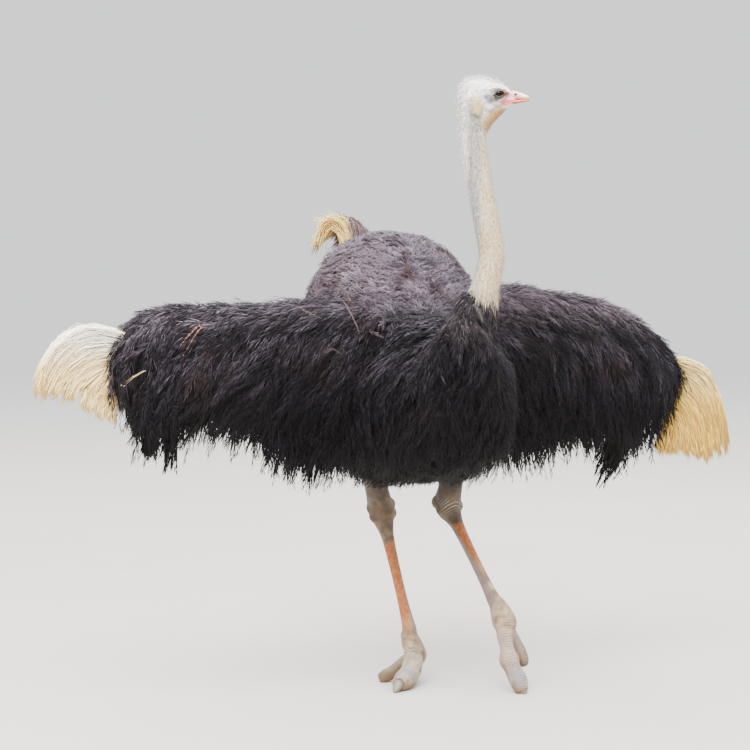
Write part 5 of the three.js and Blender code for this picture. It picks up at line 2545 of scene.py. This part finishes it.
@dataclass
class Silk:
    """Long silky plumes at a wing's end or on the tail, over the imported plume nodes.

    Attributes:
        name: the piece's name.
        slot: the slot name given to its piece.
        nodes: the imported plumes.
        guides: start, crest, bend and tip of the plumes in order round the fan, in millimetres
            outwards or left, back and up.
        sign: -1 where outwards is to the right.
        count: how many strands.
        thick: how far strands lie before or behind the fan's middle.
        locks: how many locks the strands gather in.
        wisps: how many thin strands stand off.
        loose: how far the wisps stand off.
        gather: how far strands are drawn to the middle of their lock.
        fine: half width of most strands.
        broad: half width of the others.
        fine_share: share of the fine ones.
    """

    name: str
    slot: str
    nodes: tuple[str, ...]
    guides: tuple[tuple[Row, ...], ...]
    sign: float
    count: int = 5200
    thick: float = 0.014
    locks: int = 26
    wisps: int = 160
    loose: float = 0.05
    gather: float = 0.35
    fine: float = 0.0009
    broad: float = 0.0030
    fine_share: float = 0.7

    def grid(self) -> np.ndarray:
        """Points over the fan: along each plume, from plume to plume.

        Returns:
            One row of points for each plume.
        """
        steps = np.linspace(0, 1, 48)
        mirror = np.array([self.sign, 1.0, 1.0])
        return np.array([catmull(np.array(guide) * mirror / MM, steps) for guide in self.guides])

    def at(self, grid: np.ndarray, u: np.ndarray, v: np.ndarray) -> np.ndarray:
        """Points of the fan; beyond the tips they run on straight.

        Args:
            grid: points over the fan.
            u: shares of the way along the plumes.
            v: shares of the way across the fan.

        Returns:
            The points.
        """
        across = np.clip(v, 0, 1) * (len(grid) - 1)
        row = np.minimum(across.astype(int), len(grid) - 2)
        along = np.clip(u, 0, 1) * (grid.shape[1] - 1)
        column = np.minimum(along.astype(int), grid.shape[1] - 2)
        s, t = (across - row)[:, None], (along - column)[:, None]
        near = grid[row, column] * (1 - s) + grid[row + 1, column] * s
        far = grid[row, column + 1] * (1 - s) + grid[row + 1, column + 1] * s
        over = (u - np.clip(u, 0, 1))[:, None] * (grid.shape[1] - 1)
        return near + (far - near) * (t + over)

    def strands(self, rng: np.random.Generator) -> Tufts:
        """Strands that follow the fan, gathered in locks towards their tips.

        Args:
            rng: the seeded source of chance.

        Returns:
            The strands.
        """
        grid = self.grid()
        count = self.count
        v = rng.uniform(0, 1, count)
        u = rng.uniform(-0.04, 0.86, count)
        long = rng.uniform(0.30, 0.60, count)
        centres = np.sort(rng.uniform(0, 1, self.locks))
        which = np.abs(v[:, None] - centres[None]).argmin(axis=1)
        lock = centres[which]
        lag = rng.uniform(-0.10, 0.06, self.locks)[which]
        end = np.minimum(u + long, 1.0 + rng.uniform(-0.12, 0.06, count) + lag)
        drawn = v + (lock - v) * self.gather * np.clip(end, 0, 1) ** 3
        middle = (u + end) / 2
        layer = rng.uniform(-1, 1, count)
        step = 0.02
        ahead = self.at(grid, middle + step, v) - self.at(grid, middle, v)
        face = unit(np.cross(ahead, self.at(grid, middle, v + step) - self.at(grid, middle, v - step)))
        points = []
        for at_u, at_v in ((u, v), (middle, (v + drawn) / 2), (end, drawn + rng.normal(0, 0.012, count))):
            depth = layer * self.thick * np.sqrt(np.clip(1.15 - np.abs(2 * at_u - 0.9), 0.1, 1.0))
            spot = self.at(grid, at_u, at_v) + face * depth[:, None]
            points.append(spot + rng.normal(0, 0.0015, (count, 3)))
        points[1] = 2 * points[1] - (points[0] + points[2]) / 2
        way = points[2] - points[0]
        half = np.where(rng.uniform(0, 1, count) < self.fine_share, self.fine, self.broad)
        across = unit(np.cross(way, face + rng.normal(0, 0.35, way.shape))) * half[:, None]
        # Strands lying deeper in the fan get a lower tone, painted shade; locks and strands also differ at
        # random.
        shade = rng.uniform(0.55, 0.90, self.locks)[which] + rng.normal(0, 0.12, count) + 0.15 * layer
        return Tufts(points, across, np.clip(shade, 0, 1), rings=2)

    def stray(self, rng: np.random.Generator) -> Tufts:
        """Thin strands that leave the fan.

        Args:
            rng: the seeded source of chance.

        Returns:
            The strands.
        """
        grid = self.grid()
        count = self.wisps
        u, v = rng.uniform(0.1, 0.85, count), rng.uniform(0, 1, count)
        root = self.at(grid, u, v)
        way = unit(self.at(grid, u + 0.05, v) - root)
        aim = unit(way + 0.25 * UP + rng.normal(0, 0.40, root.shape))
        long = self.loose * rng.uniform(0.6, 1.3, (count, 1))
        points = [root, root + 0.6 * long * aim, root + long * (0.8 * aim + 0.4 * way - 0.25 * UP)]
        half = unit(np.cross(aim, rng.normal(0, 1, root.shape))) * 0.0008
        return Tufts(points, half, np.full(count, 0.9), rings=2)

    def build(self, bird: Bird, finish: bpy.types.Material, chart: Chart, seed: int) -> None:
        """Places the strands as one piece.

        Args:
            bird: the landmarks.
            finish: the piece's finish.
            chart: gives a root's place on the unwrapped skin.
            seed: for the source of chance.
        """
        rng = np.random.default_rng(seed)
        tufts = merge([self.strands(rng), self.stray(rng)])
        Piece(self.name, self.slot, finish, self.nodes).from_tufts(tufts, bird, chart)


RIGHT_FAN = (
    ((925, -160, 1150), (1105, -150, 1205), (1225, -130, 1120), (1268, -118, 980)),
    ((925, -130, 1110), (1065, -120, 1130), (1165, -108, 1070), (1215, -98, 975)),
    ((925, -105, 1060), (1020, -98, 1070), (1090, -90, 1025), (1122, -82, 965)),
    ((930, -85, 1010), (965, -80, 985), (985, -72, 930), (985, -64, 878)),
)
LEFT_FAN = (
    ((1000, -165, 1050), (1125, -150, 1015), (1205, -132, 895), (1256, -118, 730)),
    ((1010, -130, 985), (1105, -120, 930), (1165, -108, 820), (1192, -100, 692)),
    ((1020, -105, 920), (1085, -95, 850), (1120, -85, 770), (1146, -80, 684)),
    ((960, -90, 880), (990, -80, 812), (988, -72, 760), (970, -66, 720)),
)
TAIL_FAN = (
    ((15, 395, 1340), (18, 430, 1464), (-26, 465, 1506), (-60, 490, 1412)),
    ((45, 415, 1360), (52, 465, 1492), (4, 515, 1518), (-36, 545, 1420)),
    ((75, 425, 1370), (94, 480, 1484), (64, 540, 1506), (8, 580, 1446)),
    ((95, 425, 1370), (130, 470, 1452), (136, 525, 1456), (108, 565, 1400)),
)


@dataclass(frozen=True)
class Accent:
    """A small spray of feathers of another colour on the right wing. Points are in millimetres."""

    start: Row
    bend: Row
    tip: Row
    count: int
    spread: float
    width: float
    barbs: int = 20

    def tufts(self, rng: np.random.Generator) -> Tufts:
        """Plumes that keep together at their roots and part towards their tips.

        Args:
            rng: the seeded source of chance.

        Returns:
            The spray.
        """
        ends = []
        for place, loose in ((self.start, 0.4), (self.bend, 0.7), (self.tip, 1.0)):
            off = rng.normal(0, self.spread * loose, (self.count, 3))
            ends.append(np.array(place) / MM + off)
        face = unit(np.tile(AHEAD + 0.3 * UP, (self.count, 1)) + rng.normal(0, 0.3, (self.count, 3)))
        tone = rng.uniform(0.2, 0.8, self.count)
        width = np.full(self.count, self.width)
        barbs = {"barbs": self.barbs, "spread": 0.45, "thick": 0.0007, "sag": 0.2, "fluff": 0.12, "rings": 2}
        return Plumes(ends, face, width, tone, **barbs).tufts(rng)


BROWN_SPRAYS = (
    Accent((-424, -256, 1307), (-406, -288, 1311), (-375, -313, 1273), 2, 0.004, 0.010),
    Accent((-344, -302, 1316), (-322, -333, 1314), (-307, -352, 1277), 3, 0.008, 0.016),
    Accent((-332, -330, 1277), (-316, -360, 1245), (-292, -372, 1185), 2, 0.005, 0.013),
    Accent((-473, -290, 1260), (-441, -306, 1233), (-396, -325, 1213), 1, 0.004, 0.012),
    Accent((-405, -345, 1093), (-387, -366, 1149), (-330, -362, 1094), 1, 0.004, 0.012),
)
RUSTY_SPRAYS = (
    Accent((-747, -240, 1204), (-792, -280, 1194), (-832, -254, 1106), 1, 0.004, 0.012, 7),
    Accent((-762, -240, 1200), (-812, -276, 1184), (-842, -250, 1132), 1, 0.004, 0.012, 7),
)
CREAM_SPRAYS = (
    Accent((-925, -196, 1062), (-958, -192, 1054), (-1000, -172, 1014), 2, 0.003, 0.008, 3),
)


def build_sprays(
    name: str, sprays: Sequence[Accent], finish: bpy.types.Material, bird: Bird, seed: int
) -> None:
    """Places the sprays of one colour as one piece.

    Args:
        name: the piece's name.
        sprays: the sprays.
        finish: their finish.
        bird: the landmarks.
        seed: for the source of chance.
    """
    rng = np.random.default_rng(seed)
    tufts = merge([spray.tufts(rng) for spray in sprays])
    Piece(name, "plumage_brown", finish).from_tufts(tufts, bird, wing_chart)


# ---- studio ----


@dataclass
class Studio:
    """A plain pale floor, soft light and the camera."""

    bird: Bird
    azimuth: float = 25.0
    distance: float = 7.75
    height: float = 1.536
    pitch: float = 3.905
    lens: float = 112.5
    aside: float = 0.0562
    haze: tuple = (0.93, 0.94, 0.96, 1.0)
    horizon: float = 1.35
    zenith: float = 6.8

    def material(self) -> bpy.types.Material:
        """The floor's pale matt finish.

        Returns:
            The material.
        """
        graph = Graph("floor")
        colour = graph.mix(graph.noise(1.5), paint(168, 164, 158), paint(176, 172, 166))
        light = {"Color": self.haze, "Strength": self.horizon}
        glow = graph.node("ShaderNodeEmission", {}, light, "Emission")
        graph.cover(graph.length(graph.place).rise(4.0, 16.0), glow)
        return graph.dressed(colour, 0.85 + 0.1 * graph.noise(3.0))

    def sky(self) -> None:
        """Soft light from all round, brighter overhead."""
        world = bpy.data.worlds.new("world")
        bpy.context.scene.world = world
        world.use_nodes = True
        tree = world.node_tree
        way = tree.nodes.new("ShaderNodeTexCoord")
        parts = tree.nodes.new("ShaderNodeSeparateXYZ")
        ramp = tree.nodes.new("ShaderNodeMapRange")
        ramp.interpolation_type = "SMOOTHSTEP"
        levels = {"From Min": 0.20, "From Max": 0.95, "To Min": self.horizon, "To Max": self.zenith}
        for key, value in levels.items():
            ramp.inputs[key].default_value = value
        back = tree.nodes["Background"]
        back.inputs["Color"].default_value = self.haze
        tree.links.new(way.outputs["Generated"], parts.inputs[0])
        tree.links.new(parts.outputs["Z"], ramp.inputs[0])
        tree.links.new(ramp.outputs[0], back.inputs["Strength"])

    def lamp(self, name: str, place: Row, size: float, power: float, tint: Row) -> None:
        """A square soft light aimed at the bird.

        Args:
            name: its name.
            place: where it stands.
            size: its width.
            power: its watts.
            tint: its colour.
        """
        data = bpy.data.lights.new(name, "AREA")
        data.size = size
        data.energy = power
        data.color = tint
        lamp = bpy.data.objects.new(name, data)
        lamp.location = place
        lamp.rotation_euler = (Vector((0, 0, 1.0)) - Vector(place)).to_track_quat("-Z", "Y").to_euler()
        bpy.context.scene.collection.objects.link(lamp)

    def build(self) -> None:
        """Makes the floor, the lights and the camera."""
        turn = math.radians(self.azimuth)
        look = np.array([math.sin(turn), math.cos(turn), 0.0])
        side = np.array([math.cos(turn), -math.sin(turn), 0.0])
        place = self.bird.shift - look * self.distance - side * self.aside + UP * self.height
        data = bpy.data.cameras.new("camera")
        data.lens = self.lens
        data.clip_end = 300.0
        camera = bpy.data.objects.new("camera", data)
        camera.location = tuple(place)
        camera.rotation_euler = (math.radians(90 - self.pitch), 0.0, -turn)
        bpy.context.scene.collection.objects.link(camera)
        bpy.context.scene.camera = camera
        corners = 80.0 * np.array([[-1.0, -1, 0], [1, -1, 0], [1, 1, 0], [-1, 1, 0]])
        floor = to_mesh("floor", Shape(corners, np.array([[0, 1, 2, 3]])))
        floor.data.materials.append(self.material())
        self.lamp("key", (-2.5, -3.0, 6.0), 4.0, 1550.0, (1.0, 0.985, 0.96))
        self.lamp("rim", (3.5, 4.0, 4.2), 3.0, 160.0, (0.97, 0.98, 1.0))
        self.sky()


def build_coat(bird: Bird, finishes: Finishes) -> None:
    """Places the dark plumage with its streamers.

    Args:
        bird: the landmarks.
        finishes: every finish.
    """
    nodes = bird.nodes(TRUNK_NODES + WING_NODES + FRINGE_NODES)
    envelope = Envelope(fuse(nodes, voxel=0.013, rounds=8))
    feathers = finishes.feathers()
    for k, (region, chart) in enumerate(regions()):
        region.build(envelope, feathers, bird, chart, Seed.COAT + k)
    bundles = (
        Streamers(Side.RIGHT, count=14, spread=0.022, lifts=(0.020, 0.055)),
        Streamers(Side.LEFT, count=28, spread=0.045, shift=0.072),
    )
    for k, bundle in enumerate(bundles):
        bundle.build(bird, feathers, Seed.STREAMERS + k)


def build_plumes(bird: Bird, finishes: Finishes) -> None:
    """Places the silky fans at the wings' ends and the tail.

    Args:
        bird: the landmarks.
        finishes: every finish.
    """
    # Each fan's top, low and deep colours and its levels; the deep colour is painted shade between strands.
    white = (paint(255, 251, 236), paint(248, 212, 132), paint(232, 190, 106), (1.17, 1.04))
    yellow = (paint(252, 232, 170), paint(246, 200, 88), paint(224, 170, 62), (1.02, 0.86))
    sides = (
        (Side.RIGHT, RIGHT_FAN, finishes.plumes("white_plumes", *white)),
        (Side.LEFT, LEFT_FAN, finishes.plumes("yellow_plumes", *yellow)),
    )
    for k, (side, guides, finish) in enumerate(sides):
        nodes = tuple(f"wing_{side.word}_plume_{n}" for n in (1, 2, 3))
        fan = Silk(f"white_plumes_{side.word}", "plumes_white", nodes, guides, side.value)
        fan.build(bird, finish, wing_chart, Seed.SILK + k)
    tail = ("tail_plume_right", "tail_plume_middle", "tail_plume_left")
    sizes = {"count": 3200, "thick": 0.024, "locks": 14, "wisps": 300, "loose": 0.075}
    fan = Silk("tail_plumes", "plumes_cream", tail, TAIL_FAN, 1.0, **sizes)
    fan.build(bird, finishes.tail(), trunk_chart, Seed.TAIL)


def build_accents(bird: Bird, finishes: Finishes) -> None:
    """Places the sprays of other colours on the right wing.

    Args:
        bird: the landmarks.
        finishes: every finish.
    """
    kinds = (
        ("brown_sprays", paint(34, 25, 26), paint(112, 92, 92), BROWN_SPRAYS),
        ("rusty_sprays", paint(90, 56, 42), paint(168, 120, 92), RUSTY_SPRAYS),
        ("cream_sprays", paint(168, 128, 84), paint(240, 222, 180), CREAM_SPRAYS),
    )
    for k, (name, dark, pale, sprays) in enumerate(kinds):
        build_sprays(name, sprays, finishes.sprays(name, dark, pale), bird, Seed.SPRAYS + k)


def main() -> None:
    """Builds the bird in order."""
    logging.basicConfig(level=logging.INFO, format="%(message)s")
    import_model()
    bird = Bird()
    Studio(bird).build()
    eyes = [Eye(side, bird) for side in Side]
    walkers = legs()
    finishes = Finishes(Markings(bird), tuple(walkers))
    head = Head(bird)
    flesh = Skin(bird, finishes.skin()).build(head, eyes, walkers)
    Down(bird).build(Envelope(above(flesh, DOWN_FOOT)), finishes.down())
    lashes = finishes.lashes()
    for k, eye in enumerate(eyes):
        build_eye(eye, finishes)
        build_lashes(eye, lashes, neck_chart, np.random.default_rng(Seed.LASHES + k))
    Bill(head).build(finishes)
    for leg in walkers:
        build_nail(leg, finishes, bird)
    build_coat(bird, finishes)
    build_plumes(bird, finishes)
    build_accents(bird, finishes)


if __name__ == "__main__":
    main()
